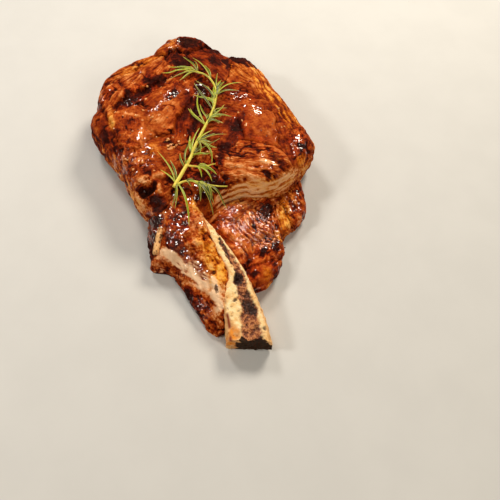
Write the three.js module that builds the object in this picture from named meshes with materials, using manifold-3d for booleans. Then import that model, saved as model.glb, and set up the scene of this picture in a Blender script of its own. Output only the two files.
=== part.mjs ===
// A grilled cowboy steak: a thick rib eye with its rib bone, the flap of meat beside the bone,
// the browned strip on the bone's other side, a splinter of feather bone and a sprig of rosemary.
// Lengths are in millimetres, +Z is up and the rib points to -Y. The plan below is drawn from a
// point near the middle of the eye, and PLAN_MIDDLE is where the middle of the whole steak lies on it.
import * as THREE from "three";
import { mergeVertices } from "three/addons/utils/BufferGeometryUtils.js";
import Module from "manifold-3d";

const wasm = await Module();
wasm.setup();
const { Manifold, Mesh: ManifoldMesh } = wasm;

const PLAN_MIDDLE = [-1, 1.1];
const GAP = 0.45; // between bone and meat

// ---------- the eye: a thick round of several muscles ----------

const EYE_THICKNESS = 37;
const EYE_CROWN = 2.5; // how much higher the middle stands than the edge
const EYE_MIDDLE = [0, 42];
const EYE_EDGE = 12; // how far in from the outline the rounded edge reaches
const EYE_OUTLINE = [
  [21, 141.5], [31.5, 134], [40, 122], [54, 111], [65.5, 103.5], [70.5, 96],
  [71.5, 83], [73.5, 61], [76, 40], [77.5, 18], [78.5, 0], [77, -10],
  [69.5, -16], [59, -24], [47, -30.5], [33, -34.5], [20, -33.5], [7, -29],
  [-8, -30], [-20, -37], [-34, -39], [-48, -32], [-61, -21], [-67.5, -10],
  [-69, 6], [-71, 25], [-75, 41], [-78.5, 57], [-80.5, 70], [-78.5, 79],
  [-72, 86], [-68.5, 95], [-62, 108], [-52.5, 117.5], [-40, 123], [-28, 125.5],
  [-12, 129], [1, 136], [11, 140.5],
];

// Each muscle or fat layer that shows on top: middle, half length, half width, turn and rise.
const EYE_MUSCLES = [
  { name: "smooth left", at: [-53, 46], half: [21, 12], turn: 78, rise: 1.2 },
  { name: "left edge", at: [-73, 42], half: [26, 7], turn: 88, rise: -2.5 },
  { name: "grill bar", at: [-40, 72], half: [15, 7], turn: 12, rise: -1.8 },
  { name: "long upper left", at: [-33, 94], half: [31, 12], turn: 36, rise: 1.5 },
  { name: "upper rim", at: [-34, 115], half: [27, 6], turn: 22, rise: -0.5 },
  { name: "hollow under peak", at: [3, 106], half: [11, 9], turn: 60, rise: -3 },
  { name: "peak", at: [17, 127], half: [17, 9], turn: -10, rise: -1 },
  { name: "smooth centre", at: [-22, 54], half: [17, 10], turn: 38, rise: 1.5 },
  { name: "upper centre", at: [-9, 79], half: [20, 9], turn: 22, rise: 1 },
  { name: "right upper", at: [33, 98], half: [17, 11], turn: 110, rise: 0 },
  { name: "right upper rim", at: [55, 72], half: [20, 12], turn: 112, rise: 0 },
  { name: "dark corner", at: [58, 96], half: [13, 8], turn: 130, rise: -5 },
  { name: "centre right", at: [36, 50], half: [16, 9], turn: -32, rise: 0 },
  { name: "round right", at: [41, 17], half: [16, 9], turn: 95, rise: 1.5 },
  { name: "right fat", at: [67, 40], half: [25, 6], turn: 94, rise: -2 },
  { name: "right low edge", at: [62, -3], half: [18, 10], turn: 80, rise: -1.5 },
  { name: "grained low right", at: [17, -14], half: [25, 14], turn: -32, rise: 1.8 },
  { name: "low centre right", at: [7, 19], half: [15, 11], turn: 45, rise: -0.8 },
  { name: "rough left", at: [-46, 14], half: [17, 16], turn: 0, rise: -0.5 },
  { name: "corner by the knuckle", at: [-57, -10], half: [13, 9], turn: 20, rise: -2.5 },
  { name: "low centre", at: [-20, -12], half: [15, 13], turn: 40, rise: -1.2 },
  { name: "under the sprig", at: [-18, 27], half: [13, 11], turn: 50, rise: -0.5 },
  { name: "low fat rim", at: [32, -31], half: [30, 4.5], turn: 4, rise: -4 },
];
const MUSCLE_BULGE = 1.8;
const SEAM_DEPTH = 1.6;
const SEAM_WIDTH = 0.16; // as a share of the muscles' own size
const EYE_FALL = 7; // how far the top falls towards the rib bone
const KNUCKLE_PIT = { at: [-60, -13], half: [6.5, 4.5], turn: 10, depth: 6 };

// ---------- the flap: the thinner meat on the bone's right ----------

const FLAP_HEIGHT = 21;
const FLAP_FALL = 8; // how much lower its far edge is than the meat by the bone
const FLAP_MIDDLE = [14, -50];
const FLAP_EDGE = 8;
const FLAP_OUTLINE = [
  [-27, -34], [10, -22], [46, -12], [60, -17], [59, -28], [57.5, -38], [54, -47], [49.5, -54.5],
  [39, -59.5], [29, -64], [24, -69], [21.5, -77], [15, -85], [10, -91], [3, -95.5], [-5, -99],
  [-17, -97], [-18, -82], [-21, -66], [-25, -50],
];
const FLAP_LUMPS = [
  { name: "beside the bone", at: [-10, -46], half: [20, 10], turn: 118, rise: 1.5 },
  { name: "wrinkled roll", at: [8, -55], half: [15, 10], turn: 120, rise: 1 },
  { name: "orange fat", at: [27, -55], half: [17, 8], turn: 70, rise: -1.5 },
  { name: "grilled top", at: [24, -38], half: [11, 8], turn: 20, rise: 0.5 },
  { name: "dark corner", at: [45, -42], half: [17, 9], turn: 95, rise: -1 },
  { name: "lower roll", at: [6, -74], half: [14, 9], turn: 40, rise: -1.5 },
  { name: "smooth tail", at: [-2, -89], half: [12, 7], turn: 30, rise: -2 },
];

// ---------- the browned strip on the bone's left ----------

// Along y: outer edge, shoulder and its height, inner edge, and the height of the ridge.
const STRIP_STATIONS = [
  { y: 2, outer: -57, shoulder: [-50, 26], inner: -22, ridge: 33 },
  { y: -14, outer: -62, shoulder: [-55, 26], inner: -25, ridge: 34 },
  { y: -26, outer: -67, shoulder: [-59, 23], inner: -27.5, ridge: 33 },
  { y: -38, outer: -69.5, shoulder: [-62, 20], inner: -27.8, ridge: 30.5 },
  { y: -47, outer: -72, shoulder: [-64, 17.5], inner: -27, ridge: 28.5 },
  { y: -54, outer: -74, shoulder: [-61, 17], inner: -26, ridge: 27 },
  { y: -60, outer: -64.5, shoulder: [-54, 16.5], inner: -25.5, ridge: 26 },
  { y: -67, outer: -60, shoulder: [-51.5, 15.5], inner: -25, ridge: 24.5 },
  { y: -79, outer: -57.5, shoulder: [-49, 14.5], inner: -24.5, ridge: 23 },
  { y: -93, outer: -56, shoulder: [-48, 12.5], inner: -29, ridge: 21 },
  { y: -104, outer: -53.5, shoulder: [-47.5, 11], inner: -35, ridge: 18 },
  { y: -112, outer: -52, shoulder: [-47, 9], inner: -38, ridge: 14.5 },
  { y: -117.5, outer: -48, shoulder: [-46.5, 5], inner: -40, ridge: 8 },
];
const STRIP_STEPS = 30;
const STRIP_ROUND = 22;

// ---------- the rib bone and the splinter of feather bone ----------

// Left and right edge of the sawn face, and its height, from the eye to the tip.
const RIB_STATIONS = [
  { left: [-29, -30], right: [-27.5, -30.5], top: 28 },
  { left: [-28.6, -38], right: [-27.2, -39.5], top: 28 },
  { left: [-28.3, -46], right: [-24.2, -47.5], top: 27 },
  { left: [-28.4, -56], right: [-20.7, -58], top: 26 },
  { left: [-28.2, -68], right: [-17.8, -70], top: 24.5 },
  { left: [-26.8, -82], right: [-15, -84.5], top: 23 },
  { left: [-29, -89], right: [-14.5, -93], top: 22 },
  { left: [-35, -92], right: [-14.3, -99], top: 21 },
  { left: [-38.5, -104], right: [-14.2, -111], top: 19.5 },
  { left: [-41, -117], right: [-15, -124], top: 18 },
  { left: [-44.5, -128], right: [-17.5, -139.3], top: 16.5 },
];
const RIB_STEPS = 26;
const RIB_ROUND = 20;
const RIB_SQUARENESS = 5;
const RIB_FOOT = 1.1; // how much wider the underside is than the sawn face
const MARROW_HOLLOWS = [
  { at: [-23, -111], half: [12, 6], turn: 86, depth: 1.6 },
  { at: [-22.5, -90], half: [4.5, 3], turn: 60, depth: 2.2 },
  { at: [-21.5, -68], half: [16, 1.6], turn: 102, depth: 1.4 },
];

const FEATHER_ENDS = [[-67.5, -48.5, 18], [-58, -33, 22.5]];
const FEATHER_WIDTH = 5.2;
const FEATHER_DEPTH = 6;

// ---------- the rosemary ----------

const STEM_RADIUS = 1.3;
const STEM_POINTS = [
  [-40.5, -15], [-25.5, 0], [-9.5, 18.5], [4, 33.5], [15, 48.5],
  [21, 60], [22, 71], [19, 80.5], [12.5, 87], [7.5, 91],
];
const TWIGS = [
  [[-39, -14], [-31.5, -12.5], [-23.5, -16], [-14, -22], [-4, -26]],
  [[-25.5, -1], [-16, -5.5], [-6, -7.5]],
];
const TWIG_RADIUS = 0.9;
const NEEDLE_WIDTH = 2.2;
const NEEDLE_THICKNESS = 1.3;
const NEEDLE_STEPS = 4;
const NEEDLE_ARCH = 2.2; // how high a needle lifts from its foot before it comes down to the meat
const STALK_CLEARANCE = 1; // between the sprig's stalks, or a needle, and the meat under them
const NEEDLE_CLEARANCE = 0.7;
const TIP_CLEARANCE = 2;
// Each needle's foot and tip on the plan, and how far it bows to the left of the line between them.
const NEEDLES = [
  { foot: [-38.5, -12.5], tip: [-41.5, 18], bow: -2 },
  { foot: [-37.5, -12.5], tip: [-40.5, -45.5], bow: 2.5 },
  { foot: [-31, -12.6], tip: [-21.5, -22], bow: 1.5 },
  { foot: [-23.5, -16], tip: [-20, -39.5], bow: 1.5 },
  { foot: [-22.5, -16.6], tip: [-17, -33], bow: 0.5 },
  { foot: [-23, -16.3], tip: [-14, -27], bow: 0 },
  { foot: [-18, -19.4], tip: [-9, -38.5], bow: 1.5 },
  { foot: [-18, -4.5], tip: [-8, -15.5], bow: 1.5 },
  { foot: [-19.5, -4], tip: [-13, -19], bow: 2 },
  { foot: [-11, 16.8], tip: [-8, -5.5], bow: 4 },
  { foot: [-10.5, 17.4], tip: [0, 5.5], bow: 0 },
  { foot: [-20, 6.4], tip: [5.5, 13], bow: 1 },
  { foot: [-13, 14.4], tip: [12.5, 16], bow: 2 },
  { foot: [-12, 15.6], tip: [3.5, 23], bow: 1 },
  { foot: [-27, -1.5], tip: [-13.5, 22], bow: 2.5 },
  { foot: [-19, 7.5], tip: [-4.5, 29.5], bow: 2 },
  { foot: [1.5, 30.7], tip: [23, 32.5], bow: 5 },
  { foot: [5.5, 35.5], tip: [22.5, 46.5], bow: -1 },
  { foot: [9.5, 41], tip: [23.5, 42.5], bow: 1 },
  { foot: [0.5, 29.6], tip: [7.5, 65], bow: 3 },
  { foot: [4, 33.5], tip: [4.5, 53], bow: 1 },
  { foot: [11.5, 44], tip: [7.5, 74.5], bow: 0 },
  { foot: [14.5, 48], tip: [9.5, 76.5], bow: -4 },
  { foot: [17.5, 53], tip: [16.5, 68], bow: 0 },
  { foot: [17.5, 53.5], tip: [31, 69], bow: 1 },
  { foot: [19.5, 57], tip: [45.5, 65], bow: 3 },
  { foot: [21.5, 62.5], tip: [30, 80.5], bow: 0.5 },
  { foot: [21.5, 73], tip: [17.5, 106], bow: -2 },
  { foot: [15, 85], tip: [10.5, 110], bow: -1 },
  { foot: [13, 86.6], tip: [-6, 100], bow: -2 },
  { foot: [11, 88.2], tip: [-13, 95], bow: -1 },
  { foot: [13.5, 86], tip: [-11, 84.5], bow: -2 },
];

// ---------- measures shared by the pieces ----------

const radians = (degrees) => (degrees * Math.PI) / 180;
const mix = (a, b, t) => a + (b - a) * t;

// 0 below a, 1 above b, with a smooth rise between.
function step(a, b, value) {
  const t = Math.min(Math.max((value - a) / (b - a), 0), 1);
  return t * t * (3 - 2 * t);
}

// A gentle unevenness between about -1 and 1, from three crossed waves bent by slower ones.
function uneven(x, y, size) {
  const u = x / size;
  const v = y / size;
  const first = Math.sin(u + 1.7 * Math.sin(0.83 * v + 0.4));
  const second = Math.sin(1.13 * v + 1.3 * Math.sin(0.71 * u + 2.1));
  const third = Math.sin(0.77 * (u + v) + 0.9 * Math.sin(0.66 * (u - v)));
  return (first + second + third) / 3;
}

// How far a point is from the middle of a turned ellipse: 0 there and 1 on its line.
function reach({ at, half, turn }, x, y) {
  const dx = x - at[0];
  const dy = y - at[1];
  const c = Math.cos(radians(turn));
  const s = Math.sin(radians(turn));
  return Math.hypot((dx * c + dy * s) / half[0], (dy * c - dx * s) / half[1]);
}

// The relief of muscles lying side by side: each bulges, and the seams between them are sunk.
function lumps(pieces, x, y) {
  let nearest = Infinity;
  let second = Infinity;
  let rise = 0;
  let weights = 0;
  for (const piece of pieces) {
    const distance = reach(piece, x, y);
    const weight = Math.exp(-5 * distance * distance);
    rise += weight * piece.rise;
    weights += weight;
    second = Math.min(second, Math.max(nearest, distance));
    nearest = Math.min(nearest, distance);
  }
  const bulge = MUSCLE_BULGE * (1 - Math.min(nearest * nearest, 1));
  const seam = SEAM_DEPTH * (1 - step(0, SEAM_WIDTH, second - nearest));
  return rise / (weights + 1e-6) + bulge - seam;
}

// A bowl sunk into a surface, round its named ellipse.
function sunk(hollow, x, y) {
  return hollow.depth * (1 - step(0.35, 1.1, reach(hollow, x, y)));
}

function eyeTop(x, y) {
  const middle = Math.hypot((x - EYE_MIDDLE[0]) / 80, (y - EYE_MIDDLE[1]) / 95);
  const fall = EYE_FALL * step(-6, -40, y) * step(14, -14, x);
  const peak = 2 * step(120, 140, y);
  const crown = EYE_CROWN * (1 - middle * middle);
  const waves = 0.7 * uneven(x, y, 5);
  const relief = lumps(EYE_MUSCLES, x, y) + waves - sunk(KNUCKLE_PIT, x, y);
  return EYE_THICKNESS + crown + relief - fall - peak;
}

function flapTop(x, y) {
  const outward = step(-20, 52, x - 0.35 * (y + 50));
  const waves = 0.9 * uneven(x + 40, y, 3.5);
  return FLAP_HEIGHT - FLAP_FALL * outward + lumps(FLAP_LUMPS, x, y) + waves;
}

// ---------- closed surfaces ----------

function surface(points, faces) {
  const geometry = new THREE.BufferGeometry();
  geometry.setAttribute("position", new THREE.Float32BufferAttribute(points.flat(), 3));
  geometry.setIndex(faces.flat());
  return geometry;
}

// Rings of points joined one to the next, closed by a fan to a point at each end.
function closedRings(start, rings, end) {
  const round = rings[0].length;
  const points = [start, ...rings.flat(), end];
  const last = points.length - 1;
  const faces = [];
  const at = (ring, i) => 1 + ring * round + (i % round);
  for (let i = 0; i < round; i++) {
    faces.push([0, at(0, i), at(0, i + 1)]);
    for (let ring = 0; ring < rings.length - 1; ring++) {
      const [a, b] = [at(ring, i), at(ring, i + 1)];
      const [c, d] = [at(ring + 1, i), at(ring + 1, i + 1)];
      const level = Math.abs(points[a][2] - points[d][2]) < Math.abs(points[b][2] - points[c][2]);
      faces.push(level ? [a, c, d] : [a, c, b], level ? [a, d, b] : [b, c, d]);
    }
    faces.push([last, at(rings.length - 1, i + 1), at(rings.length - 1, i)]);
  }
  return surface(points, faces);
}

// A smooth closed line through the points of an outline, as evenly spaced points, anticlockwise.
function outlinePoints(outline, count) {
  const corners = outline.map(([x, y]) => new THREE.Vector3(x, y, 0));
  const curve = new THREE.CatmullRomCurve3(corners, true, "centripetal");
  const spaced = curve.getSpacedPoints(count).slice(0, count);
  const area = spaced.reduce((sum, p, i) => {
    const next = spaced[(i + 1) % count];
    return sum + p.x * next.y - next.x * p.y;
  }, 0);
  return area > 0 ? spaced : spaced.reverse();
}

// A slab of meat: rings of its outline drawn in to its middle, over the top, round the edge, and
// flat underneath. The edge is half a superellipse as deep as the slab and `edge` wide.
function slab({ outline, middle, edge, top, around, over, down, under }) {
  const rim = outlinePoints(outline, around);
  const squareness = 2.6;
  const rings = [];
  const ring = (inward, height, wave) =>
    rim.map((p, i) => {
      const radius = Math.hypot(p.x - middle[0], p.y - middle[1]);
      const share = inward(edge / radius) + (wave * uneven(i * 3, height * 18, 4)) / radius;
      const x = mix(middle[0], p.x, share);
      const y = mix(middle[1], p.y, share);
      return [x, y, height === 0 ? 0 : height * top(x, y)];
    });
  for (let k = 1; k <= over; k++) rings.push(ring((e) => (1 - e) * (k / over), 1, 0));
  for (let k = 1; k < down; k++) {
    const angle = (Math.PI * k) / down;
    const out = Math.sin(angle) ** (2 / squareness);
    const rise = Math.abs(Math.cos(angle)) ** (2 / squareness);
    const height = 0.5 + 0.5 * Math.sign(Math.cos(angle)) * rise;
    rings.push(ring((e) => 1 - e * (1 - out), height, 1.1 * out));
  }
  for (let k = under; k >= 1; k--) rings.push(ring((e) => (1 - e) * (k / under), 0, 0));
  return closedRings([...middle, top(...middle)], rings, [...middle, 0]);
}

// A value that runs smoothly through the stations' values.
function through(values, t) {
  const last = values.length - 1;
  const place = Math.min(t * last, last - 1e-9);
  const i = Math.floor(place);
  const f = place - i;
  const at = (k) => values[Math.min(Math.max(k, 0), last)];
  const [a, b, c, d] = [at(i - 1), at(i), at(i + 1), at(i + 2)];
  return b + 0.5 * f * (c - a + f * (2 * a - 5 * b + 4 * c - d + f * (3 * (b - c) + d - a)));
}

// The strip: across each station a smooth line climbs from the outer edge over the shoulder and
// the ridge to the bone, and the underside is flat.
function stripSection(t) {
  const value = (pick) => through(STRIP_STATIONS.map(pick), t);
  const y = value((s) => s.y);
  const outer = value((s) => s.outer);
  const inner = value((s) => s.inner);
  const ridge = value((s) => s.ridge);
  const shoulder = [value((s) => s.shoulder[0]), value((s) => s.shoulder[1])];
  const corners = [
    [inner, 0], [inner, ridge * 0.55], [inner - 1, ridge - 1.5], [mix(inner, shoulder[0], 0.45), ridge],
    shoulder, [mix(shoulder[0], outer, 0.8), shoulder[1] * 0.62], [outer, shoulder[1] * 0.2],
    [outer + 1.5, 0],
  ];
  const curve = new THREE.CatmullRomCurve3(
    corners.map(([x, z]) => new THREE.Vector3(x, y, z)), false, "centripetal",
  );
  return curve.getSpacedPoints(STRIP_ROUND - 1).map((p) => {
    const relief = Math.min(p.z / 8, 1) * 0.9 * uneven(p.x * 1.3, p.y, 3.2);
    return [p.x, p.y, Math.max(p.z + relief, 0)];
  });
}

// The rib: a squarish section from the left edge of the sawn face to its right edge. `swell` makes
// the larger copy that cuts its socket, which is open above the face and below.
function ribSection(t, swell) {
  const value = (pick) => through(RIB_STATIONS.map(pick), t);
  const longer = t === 0 ? 3 * swell : 0;
  const left = [value((s) => s.left[0]) - swell, value((s) => s.left[1]) + longer];
  const right = [value((s) => s.right[0]) + swell, value((s) => s.right[1]) + longer];
  const top = value((s) => s.top);
  const hidden = step(0.16, 0.06, t);
  const high = swell ? mix(top + 30, top + swell, hidden) : top;
  const low = swell ? -5 : 0;
  const section = [];
  for (let k = 0; k < RIB_ROUND; k++) {
    const angle = (2 * Math.PI * k) / RIB_ROUND;
    const power = (value_) => Math.sign(value_) * Math.abs(value_) ** (2 / RIB_SQUARENESS);
    const up = 0.5 + 0.5 * power(Math.sin(angle));
    const height = mix(low, high, up);
    const foot = mix(RIB_FOOT, 1, Math.min(Math.max(height / top, 0), 1));
    const across = 0.5 + 0.5 * foot * power(Math.cos(angle));
    const x = mix(left[0], right[0], across);
    const y = mix(left[1], right[1], across);
    const dip = swell ? 0 : MARROW_HOLLOWS.reduce((sum, hollow) => sum + sunk(hollow, x, y), 0);
    section.push([x, y, height - (up > 0.9 ? dip : 0)]);
  }
  return section;
}

function middleOf(ring) {
  return [0, 1, 2].map((axis) => ring.reduce((sum, p) => sum + p[axis], 0) / ring.length);
}

function bar(sections) {
  return closedRings(middleOf(sections[0]), sections, middleOf(sections.at(-1)));
}

function swept(section, steps, swell = 0) {
  return bar(Array.from({ length: steps + 1 }, (_, k) => section(k / steps, swell)));
}

// The splinter: a bar with an uneven, pointed outline between its two ends.
function featherSection(t, swell) {
  const [near, far] = FEATHER_ENDS;
  const centre = near.map((value, axis) => mix(value, far[axis], t));
  const along = new THREE.Vector2(far[0] - near[0], far[1] - near[1]).normalize();
  const half = (FEATHER_WIDTH / 2) * (0.45 + 0.55 * Math.sin(Math.PI * mix(0.12, 0.88, t)) ** 0.6) + swell;
  const section = [];
  for (let k = 0; k < 10; k++) {
    const angle = (2 * Math.PI * k) / 10;
    const side = half * Math.cos(angle) * (1 + 0.12 * Math.sin(9 * t + k));
    const up = (FEATHER_DEPTH / 2) * Math.sin(angle) * (swell ? (Math.sin(angle) > 0 ? 4 : 1.1) : 1);
    section.push([
      centre[0] - along.y * side,
      centre[1] + along.x * side,
      centre[2] - FEATHER_DEPTH / 2 + up + 0.4 * Math.sin(7 * t + 2),
    ]);
  }
  return section;
}

// ---------- solids ----------

function solid(geometry) {
  const bare = geometry.clone();
  bare.deleteAttribute("normal");
  bare.deleteAttribute("uv");
  const merged = mergeVertices(bare, 1e-4);
  const triVerts = new Uint32Array(merged.index.array);
  const made = new Manifold(
    new ManifoldMesh({ numProp: 3, vertProperties: merged.attributes.position.array, triVerts }),
  );
  if (made.volume() > 0) return made;
  for (let i = 0; i < triVerts.length; i += 3) {
    [triVerts[i + 1], triVerts[i + 2]] = [triVerts[i + 2], triVerts[i + 1]];
  }
  return new Manifold(
    new ManifoldMesh({ numProp: 3, vertProperties: merged.attributes.position.array, triVerts }),
  );
}

function named(name, body, look) {
  const { vertProperties, triVerts } = body.getMesh();
  const geometry = new THREE.BufferGeometry();
  geometry.setAttribute("position", new THREE.BufferAttribute(vertProperties, 3));
  geometry.setIndex(new THREE.BufferAttribute(triVerts, 1));
  geometry.computeVertexNormals();
  const mesh = new THREE.Mesh(geometry, new THREE.MeshStandardMaterial({ metalness: 0, ...look }));
  mesh.name = name;
  return mesh;
}

// The largest of the bodies that a cut leaves, so that no crumb stays loose.
function largest(body) {
  return body.decompose().reduce((best, next) => (next.volume() > best.volume() ? next : best));
}

function makeMeat() {
  const eye = solid(slab({
    outline: EYE_OUTLINE, middle: EYE_MIDDLE, edge: EYE_EDGE, top: eyeTop,
    around: 90, over: 17, down: 9, under: 1,
  }));
  const flap = solid(slab({
    outline: FLAP_OUTLINE, middle: FLAP_MIDDLE, edge: FLAP_EDGE, top: flapTop,
    around: 52, over: 8, down: 6, under: 1,
  }));
  const strip = solid(swept(stripSection, STRIP_STEPS));
  const socket = solid(swept(ribSection, RIB_STEPS, GAP));
  const splinterSocket = solid(swept(featherSection, 5, GAP));
  return largest(eye.add(flap).add(strip).subtract(socket).subtract(splinterSocket));
}

// The height of the meat under a point of the plan, from a ray cast straight down.
function heightFinder(mesh) {
  const ray = new THREE.Raycaster();
  const down = new THREE.Vector3(0, 0, -1);
  return (x, y) => {
    ray.set(new THREE.Vector3(x, y, 100), down);
    const hits = ray.intersectObject(mesh);
    return hits.length ? hits[0].point.z : 0;
  };
}

// ---------- the sprig ----------

// A round or flat rod along a line of points, thinner towards its tip.
function rod(line, halfWidth, halfThickness, taper, round) {
  const sections = line.map((point, k) => {
    const next = line[Math.min(k + 1, line.length - 1)];
    const before = line[Math.max(k - 1, 0)];
    const along = new THREE.Vector3(...next).sub(new THREE.Vector3(...before)).normalize();
    const side = new THREE.Vector3(along.y, -along.x, 0).normalize();
    const up = new THREE.Vector3().crossVectors(side, along).normalize();
    const size = taper(k / (line.length - 1));
    return Array.from({ length: round }, (_, i) => {
      const angle = (2 * Math.PI * i) / round;
      const across = halfWidth * size * Math.cos(angle);
      const raised = halfThickness * size * Math.sin(angle);
      return [0, 1, 2].map(
        (axis) => point[axis] + side.getComponent(axis) * across + up.getComponent(axis) * raised,
      );
    });
  });
  return solid(bar(sections));
}

// A line on the plan laid over the meat, kept `clear` above the highest point near it.
function laidLine(plan, steps, heightAt, clear) {
  const curve = new THREE.CatmullRomCurve3(
    plan.map(([x, y]) => new THREE.Vector3(x, y, 0)), false, "centripetal",
  );
  const spaced = curve.getSpacedPoints(steps);
  const heights = spaced.map((p) =>
    Math.max(...[-1.3, 0, 1.3].flatMap((dx) => [-1.3, 1.3].map((dy) => heightAt(p.x + dx, p.y + dy)))),
  );
  return spaced.map((p, k) => {
    const near = heights.slice(Math.max(k - 1, 0), k + 2);
    return [p.x, p.y, Math.max(...near) + clear];
  });
}

function nearestPoint(line, [x, y]) {
  const apart = (p) => Math.hypot(p[0] - x, p[1] - y);
  return line.reduce((best, p) => (apart(p) < apart(best) ? p : best));
}

// A needle leaves the nearest stalk, arches up and comes down to just above the meat.
function needleLine({ foot, tip, bow }, stalks, heightAt) {
  const start = nearestPoint(stalks.flat(), foot);
  const length = Math.hypot(tip[0] - start[0], tip[1] - start[1]);
  const across = [-(tip[1] - start[1]) / length, (tip[0] - start[0]) / length];
  return Array.from({ length: NEEDLE_STEPS + 1 }, (_, k) => {
    const t = k / NEEDLE_STEPS;
    const bend = bow * 4 * t * (1 - t);
    const x = mix(start[0], tip[0], t) + across[0] * bend;
    const y = mix(start[1], tip[1], t) + across[1] * bend;
    const lift = start[2] + NEEDLE_ARCH * Math.sin(Math.PI * Math.min(t * 1.1, 1)) * (1 - t * 0.5);
    const around = [[0, 0], [1, 0], [-1, 0], [0, 1], [0, -1]];
    const floor = Math.max(...around.map(([dx, dy]) => heightAt(x + dx, y + dy)));
    const lowest = floor + NEEDLE_THICKNESS / 2 + NEEDLE_CLEARANCE;
    return [x, y, Math.max(mix(lift, floor + TIP_CLEARANCE, t ** 1.5), lowest)];
  });
}

function makeSprig(heightAt) {
  const stem = laidLine(STEM_POINTS, 26, heightAt, STEM_RADIUS + STALK_CLEARANCE);
  const twigs = TWIGS.map((twig) => laidLine(twig, 8, heightAt, TWIG_RADIUS + STALK_CLEARANCE));
  for (const line of twigs) line[0] = nearestPoint(stem, line[0]);
  const taper = (t) => (t < 0.5 ? mix(0.55, 1, t * 2) : mix(1, 0.12, (t * 2 - 1) ** 2));
  const rods = [rod(stem, STEM_RADIUS, STEM_RADIUS, (t) => 1 - 0.45 * t, 6)];
  for (const line of twigs) rods.push(rod(line, TWIG_RADIUS, TWIG_RADIUS, (t) => 1 - 0.5 * t, 5));
  for (const needle of NEEDLES) {
    const line = needleLine(needle, [stem, ...twigs], heightAt);
    rods.push(rod(line, NEEDLE_WIDTH / 2, NEEDLE_THICKNESS / 2, taper, 4));
  }
  return largest(rods.reduce((whole, part) => whole.add(part)));
}

// ---------- the steak ----------

const meat = named("meat", makeMeat(), { color: 0x8a4520, roughness: 0.35 });
const ribBody = solid(swept(ribSection, RIB_STEPS));
const featherBody = solid(swept(featherSection, 5));
const rib = named("rib_bone", ribBody, { color: 0xdcb98c, roughness: 0.6 });
const feather = named("feather_bone", featherBody, { color: 0xc79a6a, roughness: 0.6 });
const rosemary = named("rosemary", makeSprig(heightFinder(meat)), { color: 0x7d8a35, roughness: 0.55 });

const steak = new THREE.Group();
steak.add(meat, rib, feather, rosemary);
steak.position.set(-PLAN_MIDDLE[0], -PLAN_MIDDLE[1], 0);

export default steak;
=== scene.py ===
"""A grilled cowboy steak with its rib bone and a sprig of rosemary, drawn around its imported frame.

Shapes are worked out in millimetres on the plan that the solids were drawn on, and placed in the
part's own frame, in metres, when their mesh is made."""

import bpy
import numpy as np
from mathutils import Matrix


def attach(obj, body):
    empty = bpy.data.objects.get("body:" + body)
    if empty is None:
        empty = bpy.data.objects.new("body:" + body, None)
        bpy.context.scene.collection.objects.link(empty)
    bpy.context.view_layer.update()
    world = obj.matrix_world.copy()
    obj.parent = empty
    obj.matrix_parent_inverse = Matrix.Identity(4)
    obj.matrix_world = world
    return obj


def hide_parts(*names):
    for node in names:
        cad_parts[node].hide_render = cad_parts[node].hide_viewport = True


bl_info = {
    "name": "Grilled Cowboy Steak",
    "version": (1, 0, 0),
    "blender": (4, 5, 0),
    "location": "View3D > Sidebar > Steak",
    "description": "Makes a grilled cowboy steak with its rib bone and a sprig of rosemary",
    "category": "Add Mesh",
}

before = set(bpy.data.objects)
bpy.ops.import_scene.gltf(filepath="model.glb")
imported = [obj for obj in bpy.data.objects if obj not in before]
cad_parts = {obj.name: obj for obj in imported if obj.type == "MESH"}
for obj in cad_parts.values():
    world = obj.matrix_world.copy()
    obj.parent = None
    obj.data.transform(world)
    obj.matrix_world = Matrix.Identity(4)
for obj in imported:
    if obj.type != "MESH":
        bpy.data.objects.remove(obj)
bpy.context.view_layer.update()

MM = 0.001
PLAN_SHIFT = (1.0, -1.1)  # from the plan's zero to the part's, in millimetres
BODY = "root"

# The tables are in millimetres and degrees on the plan. A patch is (x, y, half length, half width,
# turn, strength), and a ridge is the same with its height for the strength.

EDGE_SQUARENESS = 2.6  # of the rounded edges of the meat
UNDERSIDE_RINGS = 3
OUTLINE_SPAN = 24  # points between two of an outline's, before they are spaced evenly
ARC_STEPS = 800  # of a rounded edge, likewise
LOOP_STEPS = 4000  # of a superellipse, likewise
FIBRE_SHIFT = 17  # how far each muscle's grain is moved from the one before


def srgb(red, green, blue):
    """A screen colour of 0 to 255 as the linear light that shaders work in."""
    return tuple(
        value / 255 / 12.92 if value <= 10 else ((value / 255 + 0.055) / 1.055) ** 2.4
        for value in (red, green, blue)
    )


# ---------- the eye of the steak ----------

EYE_MIDDLE = (0, 42)
EYE_EDGE = 12  # how wide its rounded edge is
EYE_CROWN = (80, 95)  # half the width and length of the crown over its middle
EYE_GRID = (600, 92, 58)  # points round the rim, and rings over the top and down the side
EYE_OUTLINE = [
    (21, 141.5), (31.5, 134), (40, 122), (54, 111), (65.5, 103.5), (70.5, 96), (71.5, 83), (73.5, 61),
    (76, 40), (77.5, 18), (78.5, 0), (77, -10), (69.5, -16), (59, -24), (47, -30.5), (33, -34.5),
    (20, -33.5), (7, -29), (-8, -30), (-20, -37), (-34, -39), (-48, -32), (-61, -21), (-67.5, -10),
    (-69, 6), (-71, 25), (-75, 41), (-78.5, 57), (-80.5, 70), (-78.5, 79), (-72, 86), (-68.5, 95),
    (-62, 108), (-52.5, 117.5), (-40, 123), (-28, 125.5), (-12, 129), (1, 136), (11, 140.5),
]

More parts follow.
